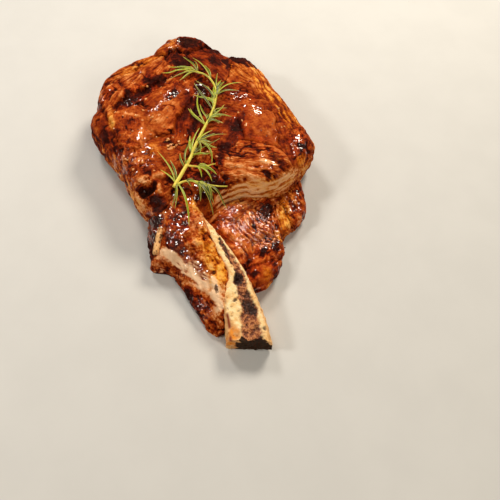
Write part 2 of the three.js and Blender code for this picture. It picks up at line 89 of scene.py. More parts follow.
# Each muscle or layer of fat on top: its middle, half length, half width and turn, how much it
# rises, its tone from burnt (0) to pale (1), and how strongly its fibres show.
EYE_MUSCLES = {
    "smooth left": (-53, 47, 21, 12, 78, 1.6, 0.58, 0.25),
    "left edge": (-73, 42, 26, 7, 88, -2.5, 0.37, 0.3),
    "grill bar": (-36, 82, 22, 5.5, 24, -2.8, 0.32, 0.4),
    "long upper left": (-33, 94, 31, 12, 36, 1.5, 0.56, 1.0),
    "upper rim": (-34, 115, 27, 6, 22, 0.5, 0.58, 0.8),
    # The low tone of the hollow under the peak is painted shade.
    "hollow under peak": (5, 112, 9, 8, 70, -0.5, 0.26, 0.3),
    "peak": (14, 130, 24, 13, 10, 3.2, 0.42, 0.5),
    "smooth centre": (-22, 54, 17, 10, 38, 2.2, 0.62, 0.25),
    "upper centre": (-9, 79, 20, 9, 22, 1, 0.47, 0.4),
    "right upper": (33, 98, 17, 11, 110, 0, 0.36, 0.5),
    "right upper rim": (55, 72, 20, 12, 112, 0, 0.60, 0.9),
    "dark corner": (58, 96, 13, 8, 130, -5, 0.25, 0.3),
    "centre right": (36, 50, 16, 9, -32, 0, 0.42, 0.5),
    "round right": (41, 17, 16, 9, 95, 1.8, 0.60, 0.15),
    "right fat": (67, 40, 25, 6, 94, -2, 0.46, 0.7),
    "right low edge": (62, -3, 18, 10, 80, -1.5, 0.44, 0.4),
    "grained low right": (17, -14, 25, 14, -26, 1.8, 0.68, 1.0),
    "low centre right": (7, 19, 15, 11, 45, -0.8, 0.40, 0.4),
    "rough left": (-46, 14, 17, 16, 0, -0.5, 0.52, 0.4),
    "corner by the knuckle": (-57, -10, 13, 9, 20, -2.5, 0.50, 0.5),
    "low centre": (-20, -12, 15, 13, 40, -1.2, 0.38, 0.4),
    "under the sprig": (-12, 36, 17, 8, 60, -1.6, 0.40, 0.4),
}

# Burnt patches. The rows that lie along the sprig, such as (10, 68.5) and (-6.2, 53), are partly real char
# and partly painted shadow of the sprig.
EYE_CHAR_AND_SPRIG_SHADOW = [
    (-34, 84.6, 24, 5.4, 24, 0.85), (-47.6, 77.7, 7, 4, 15, 1.05), (-27.9, 88.3, 7, 3.8, 41, 1),
    (-14.7, 92.1, 8, 3.9, 34, 1), (21.5, 126, 11, 6, 161, 1.3), (56, 101, 17, 6, 145, 1.15),
    (-2.5, 44, 17, 5.5, 63, 0.75), (10, 68.5, 15, 6, 70, 0.85), (-26.3, 35.4, 2.3, 1.8, 154, 1.6),
    (21.9, 20.7, 3, 2, 163, 1.6), (31, 31, 11, 4.5, 52, 0.7), (4, 2, 13, 5.5, 55, 0.8),
    (38.5, -19.5, 9.8, 6, 102, 0.95), (26.8, -28.5, 3, 2.4, 60, 1.4), (-59.6, -8.8, 7.2, 3.5, 0, 1.4),
    (-16, 40, 11, 5, 71, 0.5), (-72.6, 58.6, 9, 3.8, 78, 0.4), (62, -8, 6, 4, 60, 0.35),
    (-12, -22, 12, 6, 10, 0.75), (33, 97, 9, 6, 128, 0.6), (-6.2, 53, 20, 5, 62, 0.6),
    (-55.6, -20.5, 9, 5, 157, 0.95), (-61.9, -22.5, 6, 5, 144, 0.95),
]
EYE_FAT = [
    (-63.9, 63, 11, 2.6, 80, 0.8), (68.2, 45, 28, 6.5, 94, 0.35), (61.6, -22, 7, 5, 38, 0.7),
    (-30, 22, 4, 3, 157, 0.5), (50, 76, 17, 8, 117, 0.25), (-26, 113, 22, 5, 20, 0.45),
    (6.2, 128.5, 8, 5, 31, 0.35), (14.6, -33.9, 30, 6, 174, 0.7), (-42, 22, 8, 5, 75, 0.4),
]
# Pale patches: partly paler fat and meat, partly painted light on raised lips and edges and on the shaded
# left wall at (-73, 23).
EYE_PALE_AND_PAINTED_LIGHT = [
    (-54.7, -0.3, 9.3, 3.6, 175, 1.6), (-64.4, -12.7, 7.3, 2.2, 114, 1.7),
    (-49.6, -9.4, 5.4, 1.8, 72, 1.1), (-50.8, 63.1, 11.7, 1.2, 147, 0.7),
    (-46.3, 41.8, 16, 1.2, 70, 0.6), (19.1, -37.2, 22.6, 2.2, 174, 0.6),
    (-7.1, -30.4, 11.6, 2.7, 153, 0.8), (61.6, -22, 7, 5, 38, 0.5), (-22, 54, 12, 6, 38, 0.35),
    (-73, 23, 20, 6, 97, 0.7), (67, 2, 16, 8, 82, 0.4), (-63.9, 63, 11, 2.6, 80, 0.9),
]
EYE_RED = [
    (65.3, -4.6, 18, 9, 76, 0.8), (30.5, 3.5, 16, 9, 130, 0.7), (38, 55, 15, 9, 147, 0.6),
    (-16, 37, 15, 9, 71, 0.5), (-8, 79, 18, 8, 22, 0.5), (-60, 90, 12, 8, 78, 0.6),
    (-62, 24, 14, 10, 85, 0.45), (-20, -14, 18, 12, 20, 0.8), (-52, 40, 14, 10, 78, 0.25),
    (-34, 83, 28, 9, 28, 0.9), (30, 30, 14, 8, 52, 0.6), (10, 68, 18, 8, 70, 0.7),
]
EYE_ROUGH = [
    (-62, 22, 20, 16, 85, 1), (-25, -10, 26, 16, 20, 1), (66, -2, 20, 9, 76, 0.9),
    (-34, 84.6, 25, 8, 24, 0.9), (6, 115, 10, 8, 72, 0.7), (60, 98, 18, 9, 145, 1),
    (20, 126, 18, 9, 160, 0.9), (-62, -8, 14, 12, 30, 1), (-4, 78, 20, 9, 22, 0.6),
    (36, 54, 16, 8, 147, 0.5), (-68, 86, 14, 9, 78, 0.7), (38, -20, 12, 7, 102, 0.6),
]
EYE_WET = [
    (-25, 63, 16, 2.8, 33, 1), (-43, 75, 10, 5.4, 2, 0.7), (7, 127, 8, 6, 20, 0.9),
    (-69, 31, 6, 5, 80, 0.9), (45, 35.5, 6, 4.5, 80, 1), (35, 54, 13, 6.7, 148, 0.8),
    (29.5, -23, 9, 4, 130, 0.9), (62, -8, 10, 7, 62, 0.9), (10, 68, 9, 7, 69, 0.7),
    (-10, 72, 8, 5.6, 46, 0.8), (-62, 24, 14, 9, 88, 0.7), (-50, 20, 14, 9, 60, 0.6),
    (-20, -16, 18, 10, 20, 0.7), (45, 3, 14, 7, 120, 0.5), (-66, 88, 10, 5, 76, 0.6),
    (-56, -20, 9, 6, 157, 0.9), (-72, 24, 18, 7, 97, 0.9), (-66, 4, 14, 6, 100, 0.6),
]
# Rounded ridges of glaze that catch the light.
EYE_RIDGES = [
    (-37.1, 55.9, 1.6, 1.1, 47, 0.5), (-34, 58.2, 2.4, 1.1, 120, 0.5),
    (-30.6, 59.6, 1.7, 1.2, 30, 0.55), (-27.2, 61.3, 2.2, 1.1, 100, 0.5),
    (-23.6, 63.4, 1.8, 1.2, 30, 0.55), (-20.4, 65.4, 2.3, 1.1, 110, 0.5),
    (-16.6, 66.8, 1.8, 1.2, 40, 0.55), (-12.4, 69.4, 2.4, 1.2, 25, 0.6), (-7, 71.6, 2, 1.3, 60, 0.55),
    (-48.9, 74.9, 2.4, 1.3, 20, 0.5), (-43.2, 76.3, 2, 1.2, 90, 0.5), (-0.4, 72.3, 5.1, 2.3, 11, 0.6),
    (42.5, 35.5, 6, 5, 96, 1.3), (38.4, 52.2, 6.9, 1.8, 7, 0.5), (32.1, 47.5, 6.5, 1.8, 174, 0.5),
    (34.2, -22, 8.6, 1.7, 122, 0.5), (29.2, -12.9, 6.4, 1.6, 116, 0.4), (61.4, -5.2, 3.5, 2.3, 50, 0.7),
    (61.4, -13, 3.1, 2, 163, 0.6), (57.1, -16.7, 3.5, 1.6, 17, 0.5), (6.3, 125.8, 5.3, 3, 8, 0.8),
    (-72.3, 32.1, 2.8, 1.9, 92, 0.6), (-68, 28.4, 2.8, 1.9, 92, 0.6), (23.8, 33.4, 4, 2.1, 176, 0.6),
    (-48.9, 39.4, 7.8, 1.6, 62, 0.5), (-27.9, -16.8, 4.4, 2.2, 145, 0.6),
]
# Pits with a lip: the ellipse, then the lip's height, place and width, then the pit's depth and
# where its floor ends and its brim is, with places and widths as shares of the ellipse.
KNUCKLE_PIT = ((-58.8, -8.6, 6.2, 4, 0), (1.6, 1.5, 0.35), (5, 0.4, 1.15))
SMALL_RING = ((-30, -26, 5.5, 4.6, -20), (0.9, 1, 0.3), (0.6, 0.2, 0.9))
SPLIT_PLACE = (-52, 54, 11, 8, 80)  # the ellipse in which the smooth meat has split
# The rim's layers of fat: the bearings that they lie between, seen from the eye's middle, how far
# up the side they start and end, and their noise's seed.
NEAR_STRIPES = ((-98, -57), 0, 15, 71)
GOLD_STRIPES = ((-24, 42), 13, 30, 75)

# ---------- the flap on the bone's right ----------

FLAP_MIDDLE = (14, -50)
FLAP_EDGE = 8
FLAP_GRID = (420, 70, 36)
FLAP_OUTLINE = [
    (-27, -34), (10, -22), (46, -12), (60, -17), (59, -28), (57.5, -38), (54, -47), (49.5, -54.5),
    (39, -59.5), (29, -64), (24, -69), (21.5, -77), (15, -85), (10, -91), (3, -95.5), (-5, -99),
    (-17, -97), (-18, -82), (-21, -66), (-25, -50),
]
FLAP_LUMPS = {
    "top by the bone": (-4, -37, 17, 9, 24, 1.5, 0.52, 0.6),
    "beside the bone": (-14, -60, 18, 8, 106, 1.2, 0.54, 0.6),
    "wrinkled roll": (8, -56, 14, 10, 112, 1, 0.54, 0.6),
    "orange fat": (27, -55, 17, 8, 70, -1.5, 0.64, 0.3),
    "grilled top": (24, -38, 11, 8, 20, 0.5, 0.36, 0.5),
    "dark corner": (45, -42, 17, 9, 95, -1, 0.42, 0.4),
    "lower roll": (6, -74, 14, 9, 40, -1.5, 0.44, 0.5),
    "smooth tail": (-2, -89, 12, 7, 30, -2, 0.44, 0.1),
}
FLAP_CHAR = [
    (22, -43, 8, 6, 60, 0.95), (14, -51.5, 6, 4, 166, 0.9), (44, -48, 13, 6, 63, 0.15),
    (3, -75, 5, 2.5, 20, 0.6), (15, -74, 6, 3, 60, 0.7), (-10.2, -85.4, 8, 4.2, 58, 0.7),
    (7.3, -88.9, 7.9, 3.7, 82, 0.6),
]
FLAP_RIDGES = [
    (-3.5, -42.4, 9, 2.4, 27, 0.8), (-10.2, -49.2, 4, 2.3, 29, 0.7), (-15.7, -51.2, 2.6, 1.6, 134, 0.5),
    (1.4, -63.2, 6.2, 1.4, 108, 0.55), (10.9, -67.1, 5.3, 1.8, 2, 0.6), (-9.4, -31.4, 6, 2, 172, 0.6),
    (-15.3, -26.4, 3.7, 1.5, 172, 0.5), (6.3, -50, 5, 1.4, 93, 0.4), (6.6, -56.7, 9.9, 1.1, 93, 0.5),
    (7.1, -36.4, 4, 1.5, 15, 0.5), (-10.3, -66.8, 4.6, 1.4, 113, 0.4),
    (-18.5, -64.2, 4.6, 1.3, 109, 0.4), (22.3, -46.6, 4.3, 1.3, 91, 0.4), (-6, -79, 2.9, 1.4, 2, 0.4),
    (4.7, -72.5, 3.7, 1.4, 170, 0.4), (46.6, -41.9, 3.4, 1.4, 99, 0.4), (46, -48.9, 2.5, 1.4, 98, 0.4),
]
FLAP_FAT = [
    (1, -30, 8, 5, 160, 0.7), (32.5, -51, 14, 5, 64, 0.9), (21, -67, 7, 5, 61, 0.8),
    (0, -92, 5, 3.5, 63, 0.6), (4, -96.5, 8, 2, 21, 0.6), (46, -36, 8, 4, 90, 0.3),
]
FLAP_ROUGH = [
    (22, -44, 14, 9, 60, 1), (44, -40, 20, 10, 80, 1), (8, -76, 12, 8, 40, 0.7),
]
FLAP_WET = [
    (-4, -39, 16, 11, 33, 1), (10, -60, 9, 8, 167, 0.9), (-10, -60, 14, 9, 100, 0.7),
    (44, -42, 14, 8, 90, 0.6), (18, -46, 12, 8, 60, 0.9),
]
FLAP_FOLDS = (24, -48)  # the point that the folds of skin curve round
FLAP_FOLDED = (6, -58, 16, 12, 140)  # the ellipse that they fill
FOLD_SPACING = 3.1
FLAP_SMOOTH = (-3, -89, 12, 8, 30)  # the ellipse of the smooth tail

# ---------- the browned strip on the bone's left ----------

# From the knuckle down: y, outer edge, shoulder and its height, inner edge, height of the ridge.
STRIP_STATIONS = [
    (2, -57, -50, 26, -22, 33), (-14, -62, -55, 26, -25, 34), (-26, -67, -59, 23, -27.5, 33),
    (-38, -69.5, -62, 20, -27.8, 30.5), (-47, -72, -64, 17.5, -27, 28.5), (-54, -74, -61, 17, -26, 27),
    (-60, -64.5, -54, 16.5, -25.5, 26), (-67, -60, -51.5, 15.5, -25, 24.5),
    (-79, -57.5, -49, 14.5, -24.5, 23), (-93, -56, -48, 12.5, -29, 21),
    (-104, -53.5, -47.5, 11, -35, 18), (-112, -52, -47, 9, -38, 14.5), (-117.5, -48, -46.5, 5, -40, 8),
]
STRIP_CHAR = [
    (-59.5, -24, 15, 6.5, 72, 1), (-54, -48, 11, 5, 109, 0.95), (-66, -34, 14, 5, 80, 0.95),
    (-38, -20, 12, 8, 70, 0.6), (-66, -62, 6, 4, 60, 0.7), (-35.5, -81, 1.8, 1.5, 0, 1.4),
    (-38.2, -92, 3.6, 1.3, 80, 1.4), (-33, -57, 14, 2.5, 85, 0.6), (-43, -60, 14, 2.5, 92, 0.6),
    (-51, -95, 17, 5, 106, 0.55), (-44, -34, 16, 11, 74, 0.45),
]
STRIP_MEMBRANE = [
    (-55, -62.5, 14, 4, 116, 1.2), (-46, -77, 13, 4.3, 110, 1.2), (-39.5, -95, 12, 2.8, 82, 1.1),
    (-66, -53, 7, 4, 81, 0.5),
]
STRIP_FAT = [
    (-33, -70, 19, 6.5, 84, 0.9), (-32, -82, 8, 5, 75, 1.4), (-30, -30, 8, 4, 107, 0.7),
]
STRIP_WET = [
    (-43, -37, 15, 12, 74, 1), (-53.6, -95, 16, 6, 106, 0.9), (-60, -24, 16, 8, 72, 1),
    (-54, -48, 11, 5, 109, 1), (-47, -68, 20, 4, 113, 0.9),
]
STRIP_RED = [
    (-43, -37, 17, 14, 74, 1), (-53, -92, 16, 8, 100, 0.8), (-37, -58, 16, 8, 75, 0.4),
]

STRIP_HOLLOWS = [(-61, -38, 11, 4.5, 58, 2.2)]  # a ridge the other way up
STRIP_GRID = (230, 22)  # stations, and points between two corners of a station

# ---------- the bones ----------

# Left and right edge of the sawn face and its height, from the eye to the tip.
RIB_STATIONS = [
    (-29, -30, -27.5, -30.5, 28), (-28.6, -38, -27.2, -39.5, 28), (-28.3, -46, -24.2, -47.5, 27),
    (-28.4, -56, -20.7, -58, 26), (-28.2, -68, -17.8, -70, 24.5), (-26.8, -82, -15, -84.5, 23),
    (-29, -89, -14.5, -93, 22), (-35, -92, -14.3, -99, 21), (-38.5, -104, -14.2, -111, 19.5),
    (-41, -117, -15, -124, 18), (-44.5, -128, -17.5, -139.3, 16.5),
]
RIB_SQUARENESS = 5
RIB_ASPECT = 1.2  # how wide the section is for its height, where its points are spaced
RIB_FOOT = 1.1  # how much wider the rib is at its underside
RIB_GRID = (320, 170, 16)  # sections, points round each, and rings over the sawn end
# The marrow's line along the sawn face, and its half width there.
MARROW_LINE = [
    (-24, -44, 0.2), (-22.4, -54, 0.8), (-22.6, -61, 1.5), (-22, -69, 1.9), (-20.3, -78, 2.1),
    (-19.8, -86, 2.5), (-21.4, -92.5, 4.2), (-22.1, -100.5, 3.9), (-22.8, -107.7, 4.8),
    (-23.6, -114.9, 6.8), (-25.8, -121.3, 6.2), (-27.6, -128, 7), (-29, -137, 7.4),
]
BONE_PITS = [
    (-22.3, -91.3, 4.6, 3.2, 60, 2.4), (-29.7, -104.6, 2.2, 1.3, 10, 1.4), (-22.2, -112, 7, 4, 90, 1.2),
    (-20.5, -104, 3.4, 2.4, 40, 1.2), (-17.6, -129.5, 3, 1.8, 10, 1.6), (-24, -127, 3, 2, 70, 0.9),
    (-30.5, -112.5, 1.3, 0.9, 0, 0.8), (-33.5, -108, 0.9, 0.7, 0, 0.6), (-36, -114, 1, 0.7, 0, 0.6),
    (-27.5, -100, 1.2, 0.8, 50, 0.7),
]
MARROW_DARK = [
    (-22, -112, 6, 6, 30, 1), (-22, -92, 5, 3, 60, 1), (-22.5, -68, 14, 1.2, 92, 0.8),
    (-30, -137, 10, 3, 10, 0.7),
]
BONE_ORANGE = [
    (-40, -126, 6, 6, 20, 1), (-28.5, -78, 7, 2.2, 95, 0.9), (-33.5, -93, 5, 3, 20, 0.5),
    (-28.6, -38, 6, 2.5, 95, 0.9), (-28, -124, 7, 4, 100, 0.35),
]

FEATHER_ENDS = ((-67.5, -48.5, 18), (-58, -33, 22.5))
FEATHER_WIDTH = 5.2
FEATHER_DEPTH = 6
FEATHER_GRID = (70, 40)

# ---------- the rosemary ----------

STEM_POINTS = [
    (-40.5, -15), (-25.5, 0), (-9.5, 18.5), (4, 33.5), (15, 48.5), (21, 60), (22, 71), (19, 80.5),
    (12.5, 87), (7.5, 91),
]
TWIGS = [
    [(-39, -14), (-31.5, -12.5), (-23.5, -16), (-14, -22), (-4, -26)],
    [(-25.5, -1), (-16, -5.5), (-6, -7.5)],
]
# Each needle's foot and tip on the plan, and how far it bows to the left of the line between them.
NEEDLES = [
    (-38.5, -12.5, -41.5, 18, -2), (-37.5, -12.5, -40.5, -45.5, 2.5), (-31, -12.6, -21.5, -22, 1.5),
    (-23.5, -16, -20, -39.5, 1.5), (-22.5, -16.6, -17, -33, 0.5), (-23, -16.3, -14, -27, 0),
    (-18, -19.4, -9, -38.5, 1.5), (-18, -4.5, -8, -15.5, 1.5), (-19.5, -4, -13, -19, 2),
    (-11, 16.8, -8, -5.5, 4), (-10.5, 17.4, 0, 5.5, 0), (-20, 6.4, 5.5, 13, 1),
    (-13, 14.4, 12.5, 16, 2), (-12, 15.6, 3.5, 23, 1), (-27, -1.5, -13.5, 22, 2.5),
    (-19, 7.5, -4.5, 29.5, 2), (1.5, 30.7, 23, 32.5, 5), (5.5, 35.5, 22.5, 46.5, -1),
    (9.5, 41, 23.5, 42.5, 1), (0.5, 29.6, 7.5, 65, 3), (4, 33.5, 4.5, 53, 1), (11.5, 44, 7.5, 74.5, 0),
    (14.5, 48, 9.5, 76.5, -4), (17.5, 53, 16.5, 68, 0), (17.5, 53.5, 31, 69, 1),
    (19.5, 57, 45.5, 65, 3), (21.5, 62.5, 30, 80.5, 0.5), (21.5, 73, 17.5, 106, -2),
    (15, 85, 10.5, 110, -1), (13, 86.6, -6, 100, -2), (11, 88.2, -13, 95, -1),
    (13.5, 86, -11, 84.5, -2),
]
NEEDLES_BESIDE = 2  # how many shorter needles stand beside each drawn one
NEEDLE_WIDEST = 0.35  # the share of its length where a needle is widest
# A needle's section, in half widths and half thicknesses: a groove above, rolled edges below.
NEEDLE_SECTION = [
    (-0.8, -0.75), (-0.45, -0.5), (-0.12, -0.45), (0, -0.8), (0.12, -0.45), (0.45, -0.5), (0.8, -0.75),
    (1, 0), (0.92, 0.45), (0.55, 0.85), (0.15, 0.75), (0, 0.5), (-0.15, 0.75), (-0.55, 0.85),
    (-0.92, 0.45), (-1, 0),
]
STALK_RADII = (1.3, 0.9, 0.8)  # of the stem and of the two twigs
STALK_TAPERS = (0.45, 0.5, 0.5)
STALK_GRID = (90, 14)
STEM_STEPS, TWIG_STEPS = 26, 8  # where the stem and a twig take their height from the food
PLAN_SPAN = 20  # points between two of a stalk's on the plan
STALK_SPAN = 8  # points between two steps of a stalk
STALK_CLEARANCE = 1
NEEDLE_CLEARANCE = 1.35
NEEDLE_ARCH = 2.2
NEEDLE_KNOTS, NEEDLE_SPAN = 5, 5  # points that shape a needle, and drawn points between two
NEEDLE_SEED = 41
TIP_CLEARANCE = 2
SPRIG_CELL = 1.1  # the square of plan over which the highest point of the food is taken

# ---------- the crumbs ----------

# Middle, radius and number of each scatter.
GARLIC_PLACES = [
    (-30, 22, 3.5, 12), (-27, 26, 6, 8), (30.4, 20.9, 1.2, 3), (-10, 60, 40, 16), (30, 10, 40, 12),
    (-45, 60, 25, 8), (5, -55, 18, 6), (-55, 15, 14, 8),
]
PEPPER_PLACES = [(0, 50, 65, 90), (10, 0, 50, 70), (15, -60, 28, 30), (-45, 40, 28, 40)]
# Half size, how much it varies, and how flat a crumb is.
GARLIC_BIT = (0.95, 0.45, 0.6)
PEPPER_GRAIN = (0.38, 0.4, 0.7)
CRUMB_GRID = (5, 7)
CRUMB_CELL = 0.6
CRUMB_LOWEST = 6  # crumbs lie only where the food is higher than this
CRUMB_SUNK = 0.25
CRUMB_SEED = 17

# ---------- the stage, in metres and watts ----------

FLOOR_HALF = 3
FLOOR_CELLS = 8
FLOOR_DROP = 0.0002  # how far the floor lies under the steak
SKY = (1, 0.92, 0.8)
SKY_STRENGTH = 0.1
# Name, place, target, width, power and colour of each light.
LIGHTS = [
    ("key", (0.55, 0.4, 0.66), (0, 0.02, 0.03), 0.3, 7.2, (1, 0.92, 0.79)),
    ("back", (-0.1, 0.62, 0.66), (0, 0.03, 0.03), 0.22, 3.2, (1, 0.96, 0.9)),
    ("fill", (0.15, -0.85, 0.7), (0, 0, 0.02), 0.4, 3.5, (1, 0.92, 0.78)),
    ("side", (-0.62, 0.1, 0.55), (0, 0, 0.03), 0.14, 2.4, (1, 0.95, 0.88)),
]
CAMERA_LENS = 38.46
CAMERA_SENSOR = 36
CAMERA_PLACE = (-0.0948, -0.2431, 0.3468)
CAMERA_RIGHT = (0.91855, -0.3919, 0.05171)
CAMERA_UP = (0.31467, 0.80408, 0.50442)
CAMERA_BACK = (-0.23926, -0.44707, 0.86191)

# ---------- measures ----------


def mix(a, b, t):
    """The value a share t of the way from a to b."""
    return a + (b - a) * t


def step(a, b, value):
    """0 at a, 1 at b and a smooth 3t^2 - 2t^3 between them; a may be the larger."""
    t = np.clip((value - a) / (b - a), 0, 1)
    return t * t * (3 - 2 * t)


SHUFFLE = np.random.default_rng(7).permutation(4096)
HEIGHTS = np.random.default_rng(8).uniform(-1, 1, 4096)


def noise(x, y, z, size, seed):
    """Smooth random values between -1 and 1. The corners of a lattice of cubes, `size` wide, hold
    random values, and inside a cube its eight corners are mixed by 6t^5 - 15t^4 + 10t^3."""
    cells, shares = [], []
    for value in (x, y, z):
        place = np.asarray(value, float) / size + 31.7 * (seed + 1)
        cell = np.floor(place)
        t = place - cell
        cells.append(cell.astype(np.int64))
        shares.append(t * t * t * (t * (6 * t - 15) + 10))
    total = 0.0
    for corner in range(8):
        index, weight = seed * 131, 1.0
        for axis, (cell, share) in enumerate(zip(cells, shares)):
            bit = corner >> axis & 1
            index = SHUFFLE[(index + cell + bit) & 4095]
            weight = weight * (share if bit else 1 - share)
        total = total + weight * HEIGHTS[index]
    return total


def bulged(value, squareness):
    """A sine or cosine as a superellipse has it: its size to the power 2 / squareness."""
    return np.sign(value) * np.abs(value) ** (2 / squareness)


def clouds(x, y, z, size, seed, layers=3):
    """Noise over noise: each layer is half as wide and half as strong as the one before."""
    return sum(noise(x, y, z, size / 2**k, seed + k) / 2**k for k in range(layers))


def reach(patch, x, y):
    """How far a point is from the middle of a turned ellipse: 0 there and 1 on its line."""
    turn = np.radians(patch[4])
    dx, dy = x - patch[0], y - patch[1]
    along = (dx * np.cos(turn) + dy * np.sin(turn)) / patch[2]
    across = (dy * np.cos(turn) - dx * np.sin(turn)) / patch[3]
    return np.hypot(along, across)


def patches(table, x, y, z, seed):
    """The strongest of the named patches, each full inside its ellipse and gone a little outside
    it, along an edge that noise makes ragged."""
    ragged = 0.42 * clouds(x, y, z, 6, seed) + 0.15 * noise(x, y, z, 1.6, seed + 9)
    return np.max([p[5] * step(1.4, 0.45, reach(p, x, y) + ragged) for p in table], axis=0)


def ridges(table, x, y):
    """Rounded ridges, each as high as its last number times e^(-r^2) over its turned ellipse."""
    return sum(row[5] * np.exp(-reach(row, x, y) ** 2) for row in table)


def spline(points, closed, per_span):
    """The centripetal Catmull-Rom line: between two points runs the cubic whose end slopes come
    from the neighbours, with each span as long as the square root of its points' distance.
    The points are the last axis but one, so that many lines can be drawn at once."""
    p = np.asarray(points, float)
    if closed:
        before, start, end, after = (np.roll(p, -k, 0) for k in (-1, 0, 1, 2))
    else:
        first = 2 * p[..., :1, :] - p[..., 1:2, :]
        last = 2 * p[..., -1:, :] - p[..., -2:-1, :]
        p = np.concatenate([first, p, last], axis=-2)
        before, start, end, after = (p[..., k : k - 3 or None, :] for k in range(4))

    def span(a, b):
        return np.sqrt(np.maximum(np.linalg.norm(b - a, axis=-1, keepdims=True), 1e-4))

    d0, d1, d2 = span(before, start), span(start, end), span(end, after)
    leave = ((start - before) / d0 - (end - before) / (d0 + d1) + (end - start) / d1) * d1
    arrive = ((end - start) / d1 - (after - start) / (d1 + d2) + (after - end) / d2) * d1
    start, end, leave, arrive = (v[..., None, :] for v in (start, end, leave, arrive))
    t = np.linspace(0, 1, per_span, endpoint=False)[:, None]
    cubic = 2 * start - 2 * end + leave + arrive
    square = -3 * start + 3 * end - 2 * leave - arrive
    line = start + leave * t + square * t**2 + cubic * t**3
    line = line.reshape(*line.shape[:-3], -1, line.shape[-1])
    return line if closed else np.concatenate([line, end[..., -1, :, :]], axis=-2)


def evenly(line, count, closed):
    """The same line as `count` points that lie equally far apart along it."""
    if closed:
        line = np.vstack([line, line[:1]])
    lengths = np.concatenate([[0], np.cumsum(np.linalg.norm(np.diff(line, axis=0), axis=1))])
    places = np.linspace(0, lengths[-1], count, endpoint=not closed)
    return np.stack([np.interp(places, lengths, line[:, k]) for k in range(line.shape[1])], axis=1)


def through(stations, t):
    """Values that run smoothly through a table's rows, by the even Catmull-Rom cubic."""
    rows = np.asarray(stations, float)
    last = len(rows) - 1
    place = np.minimum(np.asarray(t) * last, last - 1e-9)
    i = np.floor(place).astype(int)
    f = (place - i)[:, None]
    a, b, c, d = (rows[np.clip(i + k, 0, last)] for k in (-1, 0, 1, 2))
    return b + 0.5 * f * (c - a + f * (2 * a - 5 * b + 4 * c - d + f * (3 * (b - c) + d - a)))


# ---------- closed surfaces ----------


def outward(rings):
    """The unit normals of a grid of rings, from the cross product of its two directions, turned
    so that on the whole they point away from the rings' middle."""
    normals = np.cross(np.gradient(rings, axis=0), np.roll(rings, -1, 1) - np.roll(rings, 1, 1))
    normals = normals * np.sign(np.sum(normals * (rings - rings.mean((0, 1)))))
    return normals / np.maximum(np.linalg.norm(normals, axis=2, keepdims=True), 1e-9)


def ring_faces(rings, around):
    """The faces of rings joined one to the next and closed by a fan to a point at each end, as
    triangles and quads. The first point of the mesh is the one end and its last is the other."""
    i = np.arange(around)
    following = (i + 1) % around
    end = 1 + rings * around
    fan = np.stack([np.zeros(around, int), 1 + i, 1 + following], axis=1)
    base = 1 + np.arange(rings - 1)[:, None] * around
    quads = np.stack([base + i, base + around + i, base + around + following, base + following], axis=2)
    last = 1 + (rings - 1) * around
    cap = np.stack([np.full(around, end), last + following, last + i], axis=1)
    return np.vstack([fan, cap]), quads.reshape(-1, 4)


def volume(points, triangles, quads):
    """The volume inside the faces, as the sum of the tetrahedra from zero to their triangles."""
    corners = np.vstack([triangles, quads[:, :3], quads[:, [0, 2, 3]]])
    a, b, c = (points[corners[:, k]] for k in range(3))
    return np.einsum("ij,ij->", a, np.cross(b, c)) / 6


def placed(name, data, matrix=None):
    """A new object in the scene that holds the data, at zero unless a matrix is given."""
    thing = bpy.data.objects.new(name, data)
    if matrix is not None:
        thing.matrix_world = matrix
    bpy.context.scene.collection.objects.link(thing)
    return thing


def raised(rings, relief, height):
    """The rings moved out by the relief along their normals. The underside stays flat at zero and
    the relief fades out just above it, where the height is near zero."""
    rings = rings + outward(rings) * (relief * step(0, 0.08, height))[..., None]
    rings[..., 2] = np.where(height <= 0, 0, np.maximum(rings[..., 2], 0))
    return rings


def make_piece(name, points, faces, values, finish, replaced=()):
    """A closed mesh from points on the plan in millimetres, with its values stored as attributes,
    its material, its body and what it stands for."""
    triangles, quads = faces
    if volume(points, triangles, quads) < 0:
        triangles, quads = triangles[:, ::-1], quads[:, ::-1]
    mesh = bpy.data.meshes.new(name)
    points = (points + (*PLAN_SHIFT, 0)) * MM
    mesh.from_pydata(points.tolist(), [], triangles.tolist() + quads.tolist())
    mesh.shade_smooth()
    for key, value in values.items():
        kind, part = ("FLOAT_VECTOR", "vector") if np.ndim(value) == 2 else ("FLOAT", "value")
        flat = np.ascontiguousarray(value, dtype=np.float32).ravel()
        mesh.attributes.new(key, kind, "POINT").data.foreach_set(part, flat)
    mesh.materials.append(finish)
    piece = placed(name, mesh)
    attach(piece, BODY)
    for node in replaced:
        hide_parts(node)


def point_values(rings, grids):
    """Values on a grid of rings as one per point: the end points take the mean of their ring."""
    flat = {}
    for key, grid in grids.items():
        if np.ndim(grid) < 3:
            grid = np.broadcast_to(grid, rings.shape[:2])[..., None]
        body = grid.reshape(-1, grid.shape[-1])
        flat[key] = np.vstack([grid[0].mean(0), body, grid[-1].mean(0)]).squeeze()
    return flat


def make_surface(name, rings, finish, slot, node, middle=None, **grids):
    """A piece from a grid of rings, closed by a point at each end: the middle of its ring, or
    above or below the given place on the plan. Returns its points."""
    start, end = rings[0].mean(0), rings[-1].mean(0)
    if middle is not None:
        start[:2] = end[:2] = middle
    points = np.vstack([start, rings.reshape(-1, 3), end])
    make_piece(name, points, ring_faces(*rings.shape[:2]), point_values(rings, grids), finish, [node])
    return points


# ---------- meat ----------


